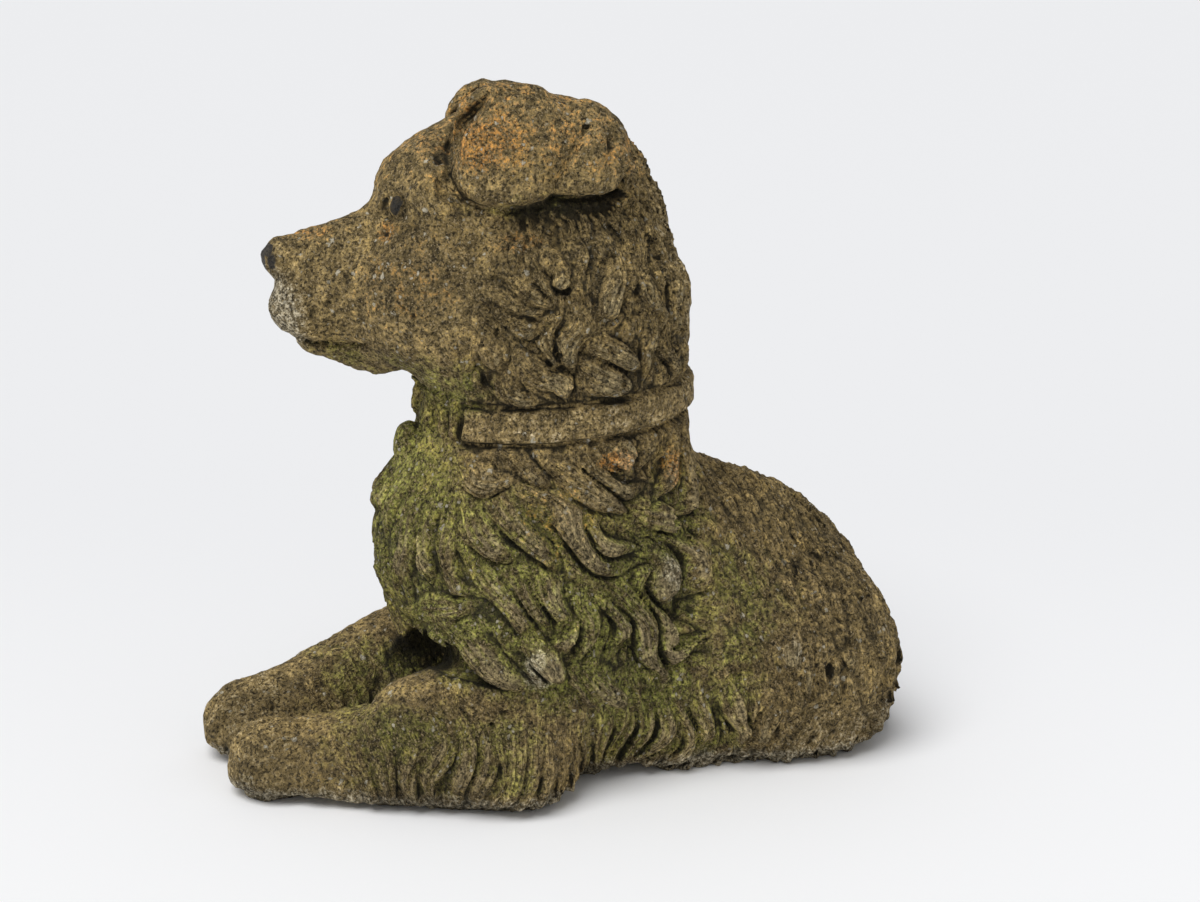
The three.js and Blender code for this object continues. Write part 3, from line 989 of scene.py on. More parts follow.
    # Distance back and height of each node: the foreleg's feathers, then the belly's fringe
    FEATHERS = (
        Lock(((-134, 40), (-127, 22), (-124, -4)), 13, 3.6),
        Lock(((-123, 43), (-115, 28), (-116, 10), (-111, -4)), 13, 4.2),
        Lock(((-109, 47), (-103, 32), (-106, 14), (-101, -4)), 13, 5.0),
        Lock(((-97, 51), (-91, 38), (-96, 18), (-91, -4)), 13, 5.4),
        Lock(((-86, 55), (-80, 40), (-85, 20), (-82, -4)), 12, 5.4),
        Lock(((-77, 58), (-71, 40), (-76, 20), (-74, -4)), 12, 5.0),
        Lock(((-65, 59), (-64, 39), (-66, 22), (-72, -4)), 14, 4.4),
        Lock(((-56, 55), (-56, 37), (-62, 20), (-66, -4)), 13, 4.6),
        Lock(((-47, 46), (-50, 31), (-57, 16), (-59, -4)), 9, 3.6),
        Lock(((-43, 44), (-44, 26), (-50, 12), (-51, -4)), 9, 3.8),
        Lock(((-38, 43), (-36, 23), (-42, 9), (-43, -4)), 10, 3.8),
        Lock(((-34, 43), (-28, 22), (-33, 6), (-34, -4)), 10, 3.8),
        Lock(((-30, 43), (-22, 24), (-23, 8), (-26, -4)), 11, 3.8),
        Lock(((-24, 57), (-15, 28), (-14, -4)), 12, 4.5),
    )
    FRINGE = (
        Lock(((-14, 64), (-5, 42), (-6, 20), (-13, 0)), 15, 5),
        Lock(((-2, 63), (6, 41), (6, 20), (-6, -4)), 15, 5.5),
        Lock(((10, 57), (17, 38), (15, 21), (1, 2)), 15, 6),
        Lock(((22, 58), (25, 38), (31, 23), (28, 10), (14, 0)), 16, 7),
        Lock(((30, 57), (35, 38), (37, 22), (29, 3)), 14, 5.5),
        Lock(((41, 52), (51, 36), (57, 20), (50, 3)), 15, 6.5),
        Lock(((58, 48), (65, 33), (67, 20), (52, 4)), 15, 6),
        Lock(((69, 46), (69, 31), (66, 18), (60, 2)), 12, 5),
        Lock(((77, 75), (78, 62), (74, 50)), 14, 5.5, smooth=True),
        Lock(((96, 84), (104, 70), (111, 57)), 13, 3.5),
        Lock(((112, 62), (120, 40), (117, 20)), 13, 2.5),
        Lock(((118, 34), (128, 16), (130, -4)), 14, 3.5),
        Lock(((92, 40), (88, 20), (84, -4)), 12, 2.0),
        Lock(((106, 36), (104, 16), (100, -4)), 12, 2.0),
    )

    def __post_init__(self) -> None:
        """Makes the charts and lays every lock."""
        turn = self.arc(1.0)
        self.charts = {
            Patch.RING: [Chart((-182 * turn, -8.0), (182 * turn, 340.0))],
            Patch.SIDE: [
                Chart(
                    (-200.0, -8.0), (170.0, 120.0), trench_depth=0.12, strand_width=6.5
                )
                for _ in range(2)
            ],
            Patch.BARREL: [Chart((-40.0, -170.0), (175.0, 170.0))],
            Patch.RUMP: [Chart((-110.0, -8.0), (110.0, 160.0))],
        }
        rng = np.random.default_rng(self.seed)
        self.lay_ring_coat(rng)
        self.lay_side_coat(rng)
        self.lay_drawn(rng)
        self.lay_back(rng)

    def arc(self, degrees: Array | float) -> Array | float:
        """The length round the neck of an angle."""
        return degrees * self.ring_radius * math.pi / 180.0

    def lay_ring(self, locks: Iterable[Lock], rng: np.random.Generator) -> None:
        """Lays locks on the left of the ring and, a little changed, on the right.

        Args:
            locks: the locks, with angles and heights for places.
            rng: where the random draws come from.
        """
        turn = float(self.arc(1.0))
        chart = self.charts[Patch.RING][0]
        for lock in locks:
            chart.lay(lock.turned((turn, 1.0)), rng.uniform(-1, 1))
            shift = (rng.uniform(-2, 2), rng.uniform(-3, 3))
            chart.lay(lock.turned((-turn, 1.0), shift), rng.uniform(-1, 1))

    def lay_ring_coat(self, rng: np.random.Generator) -> None:
        """Covers the ring from below upwards with thin wavy locks that follow the flow of the drawn ones.

        Args:
            rng: where the random draws come from.
        """
        turn = float(self.arc(1.0))
        flow = Flow.along((*self.MANE, *self.HAIR), (turn, 1.0), (0.1, -1.0))
        for row, top in enumerate(np.arange(36.0, 318.0, 11.0)):
            for arc in np.arange(3.0 + 4.0 * (row % 2), 180.0 * turn, 8.0):
                root = (arc + rng.uniform(-2.5, 2.5), top + rng.uniform(-4, 4))
                chest = arc < 36.0 * turn
                length = rng.uniform(30, 44)
                phase = 0.014 * arc + 0.021 * top + rng.uniform(-0.1, 0.1)
                nodes = flow.strand(root, length, 1.2 if chest else 2.4, phase)
                lift = rng.uniform(1.8, 2.6) if chest else rng.uniform(2.8, 4.4)
                lock = Lock(nodes, rng.uniform(6.5, 11.0), lift)
                self.lay_ring([lock.turned((1 / turn, 1.0))], rng)

    def lay_side_coat(self, rng: np.random.Generator) -> None:
        """Covers the sides near the ground with thin locks that follow the drawn ones.

        Args:
            rng: where the random draws come from.
        """
        flow = Flow.along((*self.FEATHERS, *self.FRINGE), (1.0, 1.0), (0.0, -1.0))
        for chart in self.charts[Patch.SIDE]:
            for row, top in enumerate(np.arange(18.0, 80.0, 14.0)):
                for y in np.arange(-140.0 + 4.0 * (row % 2), 140.0, 8.0):
                    root = (y + rng.uniform(-2, 2), top + rng.uniform(-4, 4))
                    phase = 0.02 * y + rng.uniform(-0.1, 0.1)
                    nodes = flow.strand(root, rng.uniform(26, 38), 1.2, phase)
                    low = 1.0 - 0.6 * (y < -45.0)
                    lift = rng.uniform(2.8, 4.2) * low
                    chart.lay(Lock(nodes, rng.uniform(7, 11), lift), rng.uniform(-1, 1))

    def lay_drawn(self, rng: np.random.Generator) -> None:
        """Lays the locks that are drawn one by one.

        Args:
            rng: where the random draws come from.
        """
        for locks, scale in ((self.MANE, self.mane_boldness), (self.HAIR, self.hair_boldness)):
            for lock in reversed(locks):
                self.lay_ring([replace(lock, lift=lock.lift * scale)], rng)
        for chart in self.charts[Patch.SIDE]:
            for lock in (*self.FEATHERS, *self.FRINGE):
                shift = (rng.uniform(-1, 1), rng.uniform(-1, 1))
                chart.lay(lock.turned((1.0, 1.0), shift), rng.uniform(-1, 1))

    def lay_back(self, rng: np.random.Generator) -> None:
        """Lays long low locks that run down and back from the spine, and down over the rump.

        Args:
            rng: where the random draws come from.
        """
        barrel = self.charts[Patch.BARREL][0]
        for side in (1.0, -1.0):
            for row in range(9, -1, -1):
                for y in np.arange(18.0 + 3.0 * (row % 2), 160.0, 6.5):
                    top = row * 12.0 - 6.0 + rng.uniform(-4, 4)
                    lean = 0.30 * float(smooth_step(150.0, 60.0, y)) + 0.08
                    reach = rng.uniform(24, 38)
                    bow = rng.uniform(-1.5, 1.5)
                    nodes = (
                        (y, top),
                        (y + reach * 0.35 * lean + bow, top + reach * 0.35),
                        (y + reach * 0.7 * lean - bow, top + reach * 0.7),
                        (y + reach * lean, top + reach),
                    )
                    lock = Lock(nodes, rng.uniform(6, 10), rng.uniform(2.0, 3.2))
                    barrel.lay(lock.turned((1.0, side)), rng.uniform(-1, 1))
        rump = self.charts[Patch.RUMP][0]
        for row in range(7):
            for a in np.arange(-100.0 + 4.0 * (row % 2), 101.0, 8.0):
                top = 24.0 + 17.0 * row + rng.uniform(-3, 3)
                bow = rng.uniform(-2, 2)
                nodes = (
                    (a, top),
                    (a * 1.02 + bow, top - 16),
                    (a * 1.04, top - rng.uniform(28, 36)),
                )
                rump.lay(Lock(nodes, rng.uniform(8, 12), 2.0), rng.uniform(-1, 1))

    def reach(self, p: Array, normal: Array) -> dict[Patch, tuple[Array, ...]]:
        """Says where each place lies on each chart and how much of that chart shows there.

        Args:
            p: places in drawing units.
            normal: the form's outward direction at each place.

        Returns:
            For each chart, its index, its two places and its share, as arrays.
        """
        return {
            Patch.RING: self.on_ring(p, normal),
            Patch.SIDE: self.on_side(p, normal),
            Patch.BARREL: self.on_barrel(p, normal),
            Patch.RUMP: self.on_rump(p, normal),
        }

    @staticmethod
    def wave_up(p: Array) -> Array:
        """A sine over height and distance back that bends the locks up and down."""
        return 0.9 * np.sin(p[2] / 7.0 + p[1] / 19.0)

    @staticmethod
    def wave_along(p: Array) -> Array:
        """A sine over the ground plan that bends the locks to and fro."""
        return 0.8 * np.sin(p[1] / 8.0 + p[0] / 15.0 + 1.0)

    def on_ring(self, p: Array, normal: Array) -> tuple[Array, ...]:
        """The ring: the arc round the neck, swung by sines over the height, and the height.

        Args:
            p: places in drawing units.
            normal: the form's outward direction at each place.

        Returns:
            The chart's index, its two places and its share.
        """
        x, y, z = p
        swing = 2.2 * np.sin(z / 4.4 + x / 13.0 + y / 17.0) + 1.2 * np.sin(
            z / 9.0 - y / 11.0
        )
        swing = swing * (1.0 - 0.6 * smooth_step(-45.0, -75.0, y))
        arc = self.arc(neck_angle(p))
        return (
            np.zeros(len(x), np.int8),
            arc + self.wave_along(p) + swing,
            z + self.wave_up(p) + 1.2 * np.sin(arc / 5.5 + z / 9.0),
            self.ring_share(p, normal),
        )

    def ring_share(self, p: Array, normal: Array) -> Array:
        """How much of the ring's hair shows: none on the face, ear, muzzle, collar, back and foreleg.

        Args:
            p: places in drawing units.
            normal: the form's outward direction at each place.

        Returns:
            The share at each place.
        """
        x, y, z = p
        aside = np.abs(neck_angle(p))
        upright = 1.0 - smooth_step(0.72, 0.93, np.abs(normal[2]))
        face = smooth_step(0.0, 16.0, aside - (30.0 + np.clip(z - 190.0, 0, 200) * 0.22))
        face = np.where(z > 186.0, face, 1.0)
        local = POSE.local(p)
        ear = smooth_step(268.0, 276.0, local[2]) * smooth_step(34.0, 27.0, local[1])
        muzzle = smooth_step(100.0, 88.0, np.hypot(x, y - POSE.axis_y)) + (z < 120.0)
        front = smooth_step(46.0, 36.0, y + 0.05 * (z - 100.0))
        low = smooth_step(34.0, 44.0, z)
        leg = np.where(y < -92.0, smooth_step(60.0, 68.0, z), 1.0)
        shown = upright * face * (1 - ear) * np.clip(muzzle, 0, 1) * front * low * leg
        throat = smooth_step(40.0, 24.0, aside) * bell(156.0, 15.0, z)
        shown = shown * (1.0 - 0.85 * throat * (z < 186.0))
        edge = self.collar.edge(p)
        banded = (aside > self.collar.tuft_angle) & (edge < 2.5) & (z > self.collar.lowest)
        return shown * np.where(banded, smooth_step(0.6, 2.5, edge), 1.0)

    def on_side(self, p: Array, normal: Array) -> tuple[Array, ...]:
        """The left or right side near the ground: the distance back, swung by a sine, and the height.

        Args:
            p: places in drawing units.
            normal: the form's outward direction at each place.

        Returns:
            The chart's index, its two places and its share.
        """
        x, y, z = p
        sideways = smooth_step(0.22, 0.5, np.abs(normal[0]))
        shown = sideways * smooth_step(62.0, 54.0, z - 24.0 * bell(80.0, 12.0, y))
        return (x < 0).astype(np.int8), y + 2.0 * np.sin(z / 7.0 + y / 14.0), z, shown

    def on_barrel(self, p: Array, normal: Array) -> tuple[Array, ...]:
        """The barrel: the distance back, and the arc over the back from the spine.

        Args:
            p: places in drawing units.
            normal: the form's outward direction at each place.

        Returns:
            The chart's index, its two places and its share.
        """
        x, y, z = p
        over = np.radians(np.degrees(np.arctan2(x, z - self.barrel_height)))
        behind = smooth_step(36.0, 46.0, y + 0.05 * (z - 100.0))
        shown = behind * smooth_step(44.0, 56.0, z) * smooth_step(0.85, 0.6, normal[1])
        first = np.zeros(len(x), np.int8)
        return first, y + self.wave_along(p), over * self.barrel_radius, shown

    def on_rump(self, p: Array, normal: Array) -> tuple[Array, ...]:
        """The rump: the arc round it, and the height.

        Args:
            p: places in drawing units.
            normal: the form's outward direction at each place.

        Returns:
            The chart's index, its two places and its share.
        """
        x, y, z = p
        around = np.arctan2(x, y - self.rump_y) * self.rump_radius
        shown = smooth_step(0.5, 0.75, normal[1]) * smooth_step(104.0, 118.0, y)
        return np.zeros(len(x), np.int8), around + self.wave_up(p), z, shown

    def read(self, p: Array, normal: Array) -> tuple[Array, Array, Array, Array]:
        """Reads the coat at each place, from the chart that shows most there.

        Args:
            p: places in drawing units.
            normal: the form's outward direction at each place.

        Returns:
            The hair's height, the place across its lock, the lock's shade, and how much hair there is.
        """
        height = np.zeros(p.shape[1], np.float32)
        across = np.zeros_like(height)
        shade = np.zeros_like(height)
        fur = np.zeros_like(height)
        for patch, (index, a, b, share) in self.reach(p, normal).items():
            for k, chart in enumerate(self.charts[patch]):
                chosen = np.flatnonzero((index == k) & (share > 0.001))
                if not len(chosen):
                    continue
                ca, cb = a[chosen], b[chosen]
                h = chart.read(chart.height, ca, cb) * share[chosen]
                over = (h > height[chosen]) | (fur[chosen] < 0.5 * share[chosen])
                won = chosen[over]
                height[won] = h[over]
                across[won] = chart.read_nearest(chart.across, ca[over], cb[over])
                shade[won] = chart.read_nearest(chart.shade, ca[over], cb[over])
                fur[chosen] = np.maximum(fur[chosen], share[chosen])
        height = height + self.collar.relief(p) + self.head.creases(p, normal)
        return height, across, shade, fur


# Meshing


@dataclass(frozen=True)
class Lattice:
    """A regular lattice of places in drawing units."""

    low: Place
    step: float
    shape: tuple[int, int, int]

    @classmethod
    def over(cls, low: Place, high: Place, step: float) -> Lattice:
        """The lattice of that step that spans two corners."""
        shape = tuple(int(math.ceil((h - l) / step)) + 1 for l, h in zip(low, high))
        return cls(low, step, shape)

    def places(self, index: Array) -> Array:
        """The places of the nodes with these flat indices, as three rows."""
        ijk = np.unravel_index(index, self.shape)
        return np.stack(
            [
                (axis * self.step + low).astype(np.float32)
                for axis, low in zip(ijk, self.low)
            ]
        )

    def sample(self, values: Array, p: Array) -> Array:
        """Reads values on the lattice at any places, by trilinear steps.

        Args:
            values: one value a node.
            p: places in drawing units.

        Returns:
            The value at each place.
        """
        cell, share = [], []
        for k in range(3):
            u = np.clip((p[k] - self.low[k]) / self.step, 0, self.shape[k] - 1.001)
            cell.append(u.astype(np.int32))
            share.append(u - cell[-1])
        total = np.zeros(p.shape[1], np.float32)
        for corner in range(8):
            bits = [(corner >> k) & 1 for k in range(3)]
            weight = np.ones_like(total)
            for k, bit in enumerate(bits):
                weight *= share[k] if bit else 1 - share[k]
            total += (
                weight * values[cell[0] + bits[0], cell[1] + bits[1], cell[2] + bits[2]]
            )
        return total

    def spread(self, values: Array, finer: Lattice) -> Array:
        """Carries values over to a finer lattice, by linear steps along each axis in turn."""
        for k in range(3):
            u = np.arange(finer.shape[k]) * finer.step / self.step
            u = np.clip(u, 0, self.shape[k] - 1.001)
            i = u.astype(int)
            t = (u - i).astype(np.float32).reshape([-1 if m == k else 1 for m in range(3)])
            values = values.take(i, k) * (1 - t) + values.take(i + 1, k) * t
        return values


def surface_net(values: Array, lattice: Lattice) -> tuple[Array, Array]:
    """Meshes the zero level: a point in each cell that it crosses, a square across each lattice edge it cuts.

    Args:
        values: one distance a node.
        lattice: the nodes.

    Returns:
        Points as rows in drawing units, and squares as rows of four point numbers.
    """
    inside = values < 0
    cell_shape = tuple(n - 1 for n in lattice.shape)
    cells, points, squares = [], [], []
    for axis in range(3):
        lower = tuple(slice(None, -1) if k == axis else slice(None) for k in range(3))
        upper = tuple(slice(1, None) if k == axis else slice(None) for k in range(3))
        cut = np.nonzero(inside[lower] != inside[upper])
        a, b = values[lower][cut], values[upper][cut]
        place = np.stack(cut, 1).astype(np.float64)
        place[:, axis] += a / (a - b)
        one, two = (axis + 1) % 3, (axis + 2) % 3
        ring = []
        for back_one, back_two in ((0, 0), (1, 0), (1, 1), (0, 1)):
            ijk = [c.copy() for c in cut]
            ijk[one] = ijk[one] - back_one
            ijk[two] = ijk[two] - back_two
            ring.append(np.ravel_multi_index(ijk, cell_shape))
        ring = np.stack(ring, 1)
        squares.append(np.where(inside[lower][cut][:, None], ring, ring[:, ::-1]))
        cells.append(ring.ravel())
        points.append(np.repeat(place, 4, axis=0))
    cells, squares = np.concatenate(cells), np.concatenate(squares)
    points = np.concatenate(points)
    used, number = np.unique(cells, return_inverse=True)
    count = np.bincount(number)
    middle = np.stack(
        [np.bincount(number, points[:, k]) / count for k in range(3)], 1
    )
    squares = np.searchsorted(used, squares)
    return middle * lattice.step + np.array(lattice.low), squares


def rough_noise(p: Array, size: float, seed: int) -> Array:
    """Smooth noise from -1 to 1 in space: hashed corner values, eased between.

    Args:
        p: places as three rows.
        size: the distance between corners.
        seed: a number for this noise.

    Returns:
        The noise at each place.
    """
    q = p / size
    cell = np.floor(q).astype(np.int64)
    t = q - cell
    t = t * t * (3 - 2 * t)
    total = np.zeros(p.shape[1])
    for corner in range(8):
        bits = [(corner >> k) & 1 for k in range(3)]
        n = (
            (cell[0] + bits[0]) * 73856093
            ^ (cell[1] + bits[1]) * 19349663
            ^ (cell[2] + bits[2]) * 83492791
            ^ seed * 2654435761
        )
        n = (n ^ (n >> 13)) * 1274126177
        value = ((n ^ (n >> 16)) & 0xFFFF) / 32767.5 - 1.0
        weight = np.ones_like(total)
        for k, bit in enumerate(bits):
            weight *= t[k] if bit else 1 - t[k]
        total += weight * value
    return total


@dataclass
class Figure:
    """The whole carved figure, from its field to its mesh."""

    coat: Coat
    trunk: Trunk
    forelegs: Forelegs
    head: Head
    step: float
    coarse_ratio: int = 4
    band: float = 9.5
    inset: float = 3.0
    triangles: int = 190_000
    margin: float = 0.0001
    low: Place = (-94.0, -206.0, -5.2)
    high: Place = (94.0, 166.0, 342.0)
    lattice: Lattice = field(init=False)
    coarse: Lattice = field(init=False)
    values: Array = field(init=False)
    slopes: list[Array] = field(init=False)
    shift: Array = field(init=False)

    def form(self) -> Form:
        """The smooth form under the hair."""
        whole = Joined(self.trunk.form(), self.forelegs.masses())
        return Carved(whole, self.forelegs.grooves())

    def normal(self, p: Array) -> Array:
        """The smooth form's outward direction at each place."""
        n = np.stack([self.coarse.sample(s, p) for s in self.slopes])
        return n / (np.sqrt((n * n).sum(0)) + TINY)

    def measure(self) -> None:
        """Fills the lattice: roughly everywhere, and exactly with the hair in a band along the surface."""
        form = self.form()
        self.coarse = Lattice.over(self.low, self.high, self.step * self.coarse_ratio)
        rough = form.distance(self.coarse.places(np.arange(np.prod(self.coarse.shape))))
        rough = rough.reshape(self.coarse.shape).astype(np.float32)
        self.slopes = list(np.gradient(rough))
        top = [l + (n - 1) * self.coarse.step for l, n in zip(self.low, self.coarse.shape)]
        self.lattice = Lattice.over(self.low, tuple(top), self.step)
        values = self.coarse.spread(rough, self.lattice)
        near = np.flatnonzero(np.abs(values) < self.band + 3.0)
        flat = values.reshape(-1)
        for part in np.array_split(near, max(1, len(near) // 300_000)):
            p = self.lattice.places(part)
            d = form.distance(p)
            height = self.coat.read(p, self.normal(p))[0] - self.undercut(p)
            fade = smooth_step(self.band, self.band - 2.0, d)
            flat[part] = d - height * fade
        z = self.lattice.low[2] + np.arange(self.lattice.shape[2]) * self.step
        self.values = np.maximum(values, (0.01 - z)[None, None, :]).astype(np.float32)

    def undercut(self, p: Array) -> Array:
        """How far the ragged bottom edge is set in: an eased inset under a few units, with noise.

        Args:
            p: places in drawing units.

        Returns:
            The inset at each place.
        """
        rim = 6.0 + 2.5 * rough_noise(p * np.array([[1.0], [1.0], [0.3]]), 11.0, 7)
        ragged = 1.0 + 0.4 * rough_noise(p, 6.0, 8)
        return self.inset * smooth_step(0.0, -3.0, p[2] - rim) * ragged

    def openness(self, p: Array, normal: Array) -> Array:
        """How open each place is to the air: the mean clear share of steps out along its normal.

        Args:
            p: places in drawing units.
            normal: the form's outward direction at each place.

        Returns:
            The share from 0, closed in, to 1.
        """
        total = np.zeros(p.shape[1], np.float32)
        steps = (1.5, 3.0, 5.5, 9.0, 16.0)
        for reach in steps:
            clear = self.lattice.sample(self.values, p + normal * reach)
            total += np.clip(clear / reach, 0.0, 1.0)
        return total / len(steps)

    def roughened(self, p: Array, normal: Array) -> Array:
        """Moves places along their normals by the grain of the stone: lumps, crumbs and pits.

        Args:
            p: places in drawing units.
            normal: the form's outward direction at each place.

        Returns:
            The moved places.
        """
        lumps = 0.8 * rough_noise(p, 16.0, 1) + 0.6 * rough_noise(p, 7.5, 2)
        crumbs = 0.5 * rough_noise(p, 4.4, 3) + 0.4 * rough_noise(p, 2.6, 4)
        pits = -1.3 * smooth_step(0.55, 0.85, rough_noise(p, 3.8, 5))
        local = POSE.local(p)
        eye = self.head.eye_centre
        fine = np.sqrt(
            (np.abs(local[0]) - eye[0]) ** 2
            + (local[1] - eye[1]) ** 2
            + (local[2] - eye[2]) ** 2
        )
        keep = smooth_step(8.0, 16.0, fine) * smooth_step(0.0, 2.0, p[2])
        bare = smooth_step(150.0, 200.0, p[2]) + smooth_step(60.0, 90.0, p[1])
        bare = np.clip(bare + smooth_step(-95.0, -125.0, p[1]), 0.35, 1.0)
        return p + normal * (lumps * (0.4 + 0.6 * bare) + (crumbs + pits) * bare) * keep

    def mesh(self) -> bpy.types.Mesh:
        """Meshes the figure and thins it to the triangle count.

        Returns:
            The mesh, in drawing units.
        """
        points, squares = surface_net(self.values, self.lattice)
        normal = self.mesh_normals(points, squares)
        points = self.roughened(points.T, normal.T).T
        mesh = bpy.data.meshes.new("terrier_stone")
        mesh.from_pydata(points.tolist(), [], squares.tolist())
        raw = bpy.data.objects.new("terrier_raw", mesh)
        bpy.context.scene.collection.objects.link(raw)
        thin = raw.modifiers.new("thin", "DECIMATE")
        thin.ratio = min(1.0, self.triangles / (2 * len(squares)))
        thin.use_collapse_triangulate = True
        graph = bpy.context.evaluated_depsgraph_get()
        done = bpy.data.meshes.new_from_object(raw.evaluated_get(graph))
        done.name = "terrier_stone"
        bpy.data.objects.remove(raw)
        bpy.data.meshes.remove(mesh)
        LOG.info("%d squares, thinned to %d faces", len(squares), len(done.polygons))
        return done

    @staticmethod
    def mesh_normals(points: Array, squares: Array) -> Array:
        """The normal at each point: the sum of its squares' diagonal cross products, made one long.

        Args:
            points: places as rows.
            squares: rows of four point numbers.

        Returns:
            The normals, as rows.
        """
        a, b, c, d = (points[squares[:, k]] for k in range(4))
        face = np.cross(c - a, d - b)
        total = np.stack(
            [
                sum(
                    np.bincount(squares[:, corner], face[:, k], len(points))
                    for corner in range(4)
                )
                for k in range(3)
            ],
            1,
        )
        return total / (np.linalg.norm(total, axis=1, keepdims=True) + TINY)

    def set_in_frame(self, p: Array) -> Array:
        """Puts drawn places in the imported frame: centred on the CAD box, in metres, and kept inside it.

        Args:
            p: places in drawing units, as rows.

        Returns:
            Places in metres.
        """
        low, high = (np.array(corner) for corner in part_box(NODE))
        middle = (p.min(0) + p.max(0)) / 2
        middle[2] = 0.0
        self.shift = (low + high) / 2 - middle * UNIT
        self.shift[2] = low[2]
        return np.clip(p * UNIT + self.shift, low + self.margin, high - self.margin)


@dataclass(frozen=True)
class Weathering:
    """Where lichen, moss, darker patches, bare stone and pigment lie, as soft regions of the figure."""

    collar: Collar

    @staticmethod
    def spot(p: Array, centre: Place, radii: Place) -> Array:
        """A soft region: 1 at its centre, 0 beyond its radii, eased between."""
        r = np.sqrt(sum(((p[k] - centre[k]) / radii[k]) ** 2 for k in range(3)))
        return smooth_step(1.0, 0.35, r)

    def rust(self, p: Array) -> Array:
        """Orange lichen: on the head's top and ears, the nose bridge, under the eye and under the collar.

        Args:
            p: places in drawing units.

        Returns:
            The share at each place, 0 for none of it.
        """
        local = POSE.local(p)
        mirrored = folded(local)
        near = p[0] > 0
        top = 0.62 * smooth_step(258.0, 296.0, local[2])
        ear = self.spot(mirrored, (50, -28, 296), (22, 30, 24))
        bridge = 0.75 * self.spot(local, (0, -108, 260), (22, 34, 14))
        under_eye = 0.9 * self.spot(mirrored, (25, -76, 257), (9, 10, 8))
        cheek = 0.75 * self.spot(mirrored, (54, -18, 254), (16, 22, 9))
        side = 0.45 * self.spot(mirrored, (40, -70, 236), (30, 50, 34))
        stripe = 1.2 * near * self.spot(p, (57, -6, 158), (18, 16, 8))
        tuft = 1.1 * near * self.spot(p, (41, 23, 148), (18, 12, 15))
        locks = 0.5 * self.spot(p, (66, -34, 130), (30, 34, 34))
        return np.maximum.reduce(
            [top, ear, bridge, under_eye, cheek, side, stripe, tuft, locks]
        )

    def moss(self, p: Array, normal: Array) -> Array:
        """Green moss: over the mane, chest, throat and fringe, and in the shade under the jaw and ear.

        Args:
            p: places in drawing units.
            normal: the form's outward direction at each place.

        Returns:
            The share at each place, 0 for none of it.
        """
        _, y, z = p
        local = POSE.local(p)
        mane = smooth_step(172.0, 120.0, z) * smooth_step(60.0, 20.0, y)
        mane = mane * smooth_step(26.0, 60.0, z + 0.4 * (y + 40.0))
        chest = smooth_step(-60.0, -90.0, y) * smooth_step(60.0, 90.0, z)
        chest = chest * smooth_step(190.0, 168.0, z)
        throat = self.spot(p, (20, -80, 190), (60, 40, 26))
        jaw = smooth_step(214.0, 200.0, local[2]) * smooth_step(175.0, 190.0, local[2])
        jaw = jaw * smooth_step(-30.0, -70.0, local[1])
        under_ear = self.spot(folded(local), (52, -10, 270), (20, 50, 10))
        flank = 0.7 * self.spot(p, (55, 30, 80), (40, 70, 60))
        flank = np.maximum(flank, 0.7 * self.spot(p, (-55, 30, 80), (40, 70, 60)))
        fringe = smooth_step(75.0, 50.0, y) * smooth_step(-40.0, -10.0, y)
        fringe = fringe * smooth_step(70.0, 40.0, z) * smooth_step(2.0, 14.0, z) * 0.9
        leg = 0.75 * smooth_step(-30.0, -60.0, y) * smooth_step(-160.0, -110.0, y)
        leg = leg * smooth_step(60.0, 40.0, z) * smooth_step(4.0, 16.0, z)
        best = np.maximum.reduce(
            [mane, chest, throat, 0.8 * jaw, 0.7 * under_ear, flank, fringe, leg]
        )
        return best * (0.75 + 0.25 * normal[2])

    def darkening(self, p: Array) -> Array:
        """Darker, greyer stone: below the eye and ear, on the foreleg's side and high on the rump.

        Args:
            p: places in drawing units.

        Returns:
            The share at each place, 0 for none of it.
        """
        local = POSE.local(p)
        cheek = self.spot(folded(local), (44, -64, 245), (34, 44, 36))
        leg = self.spot(p, (66, -92, 26), (40, 70, 36))
        rump = 0.5 * self.spot(p, (30, 110, 110), (70, 50, 50))
        throat = 0.6 * self.spot(local, (20, -80, 200), (50, 40, 14))
        return np.maximum.reduce([cheek, leg, rump, throat])

    def bare(self, p: Array) -> Array:
        """Pale bare stone along the bottom edge, paws, lip and smooth leaf locks, and painted light behind
        the head.

        Args:
            p: places in drawing units.

        Returns:
            The share at each place, 0 for none of it.
        """
        _, y, z = p
        local = POSE.local(p)
        low = smooth_step(17.0, 3.0, z) * 1.15
        # Painted light: the back of the head is made paler, as if lit from behind.
        lit_nape = 0.45 * self.spot(local, (0, 60, 250), (60, 40, 80))
        paws = 0.35 * smooth_step(-130.0, -165.0, y)
        haunch = 0.5 * smooth_step(48.0, 20.0, z) * smooth_step(60.0, 84.0, y)
        lip = 1.3 * self.spot(local, (6, -124, 220), (30, 24, 28))
        chip = 1.6 * self.spot(local, (29, -73.5, 273), (4, 3, 2.6))
        leaves = [
            ((54, 19, 99), (14, 11, 17)),
            ((76, -48, 68), (12, 11, 16)),
            ((60, 77, 60), (12, 8, 14)),
        ]
        spots = [self.spot(p, centre, radii) for centre, radii in leaves]
        collar = 0.35 * self.collar.share(p)
        return np.maximum.reduce([low, lit_nape, paws, haunch, lip, chip, collar, *spots])

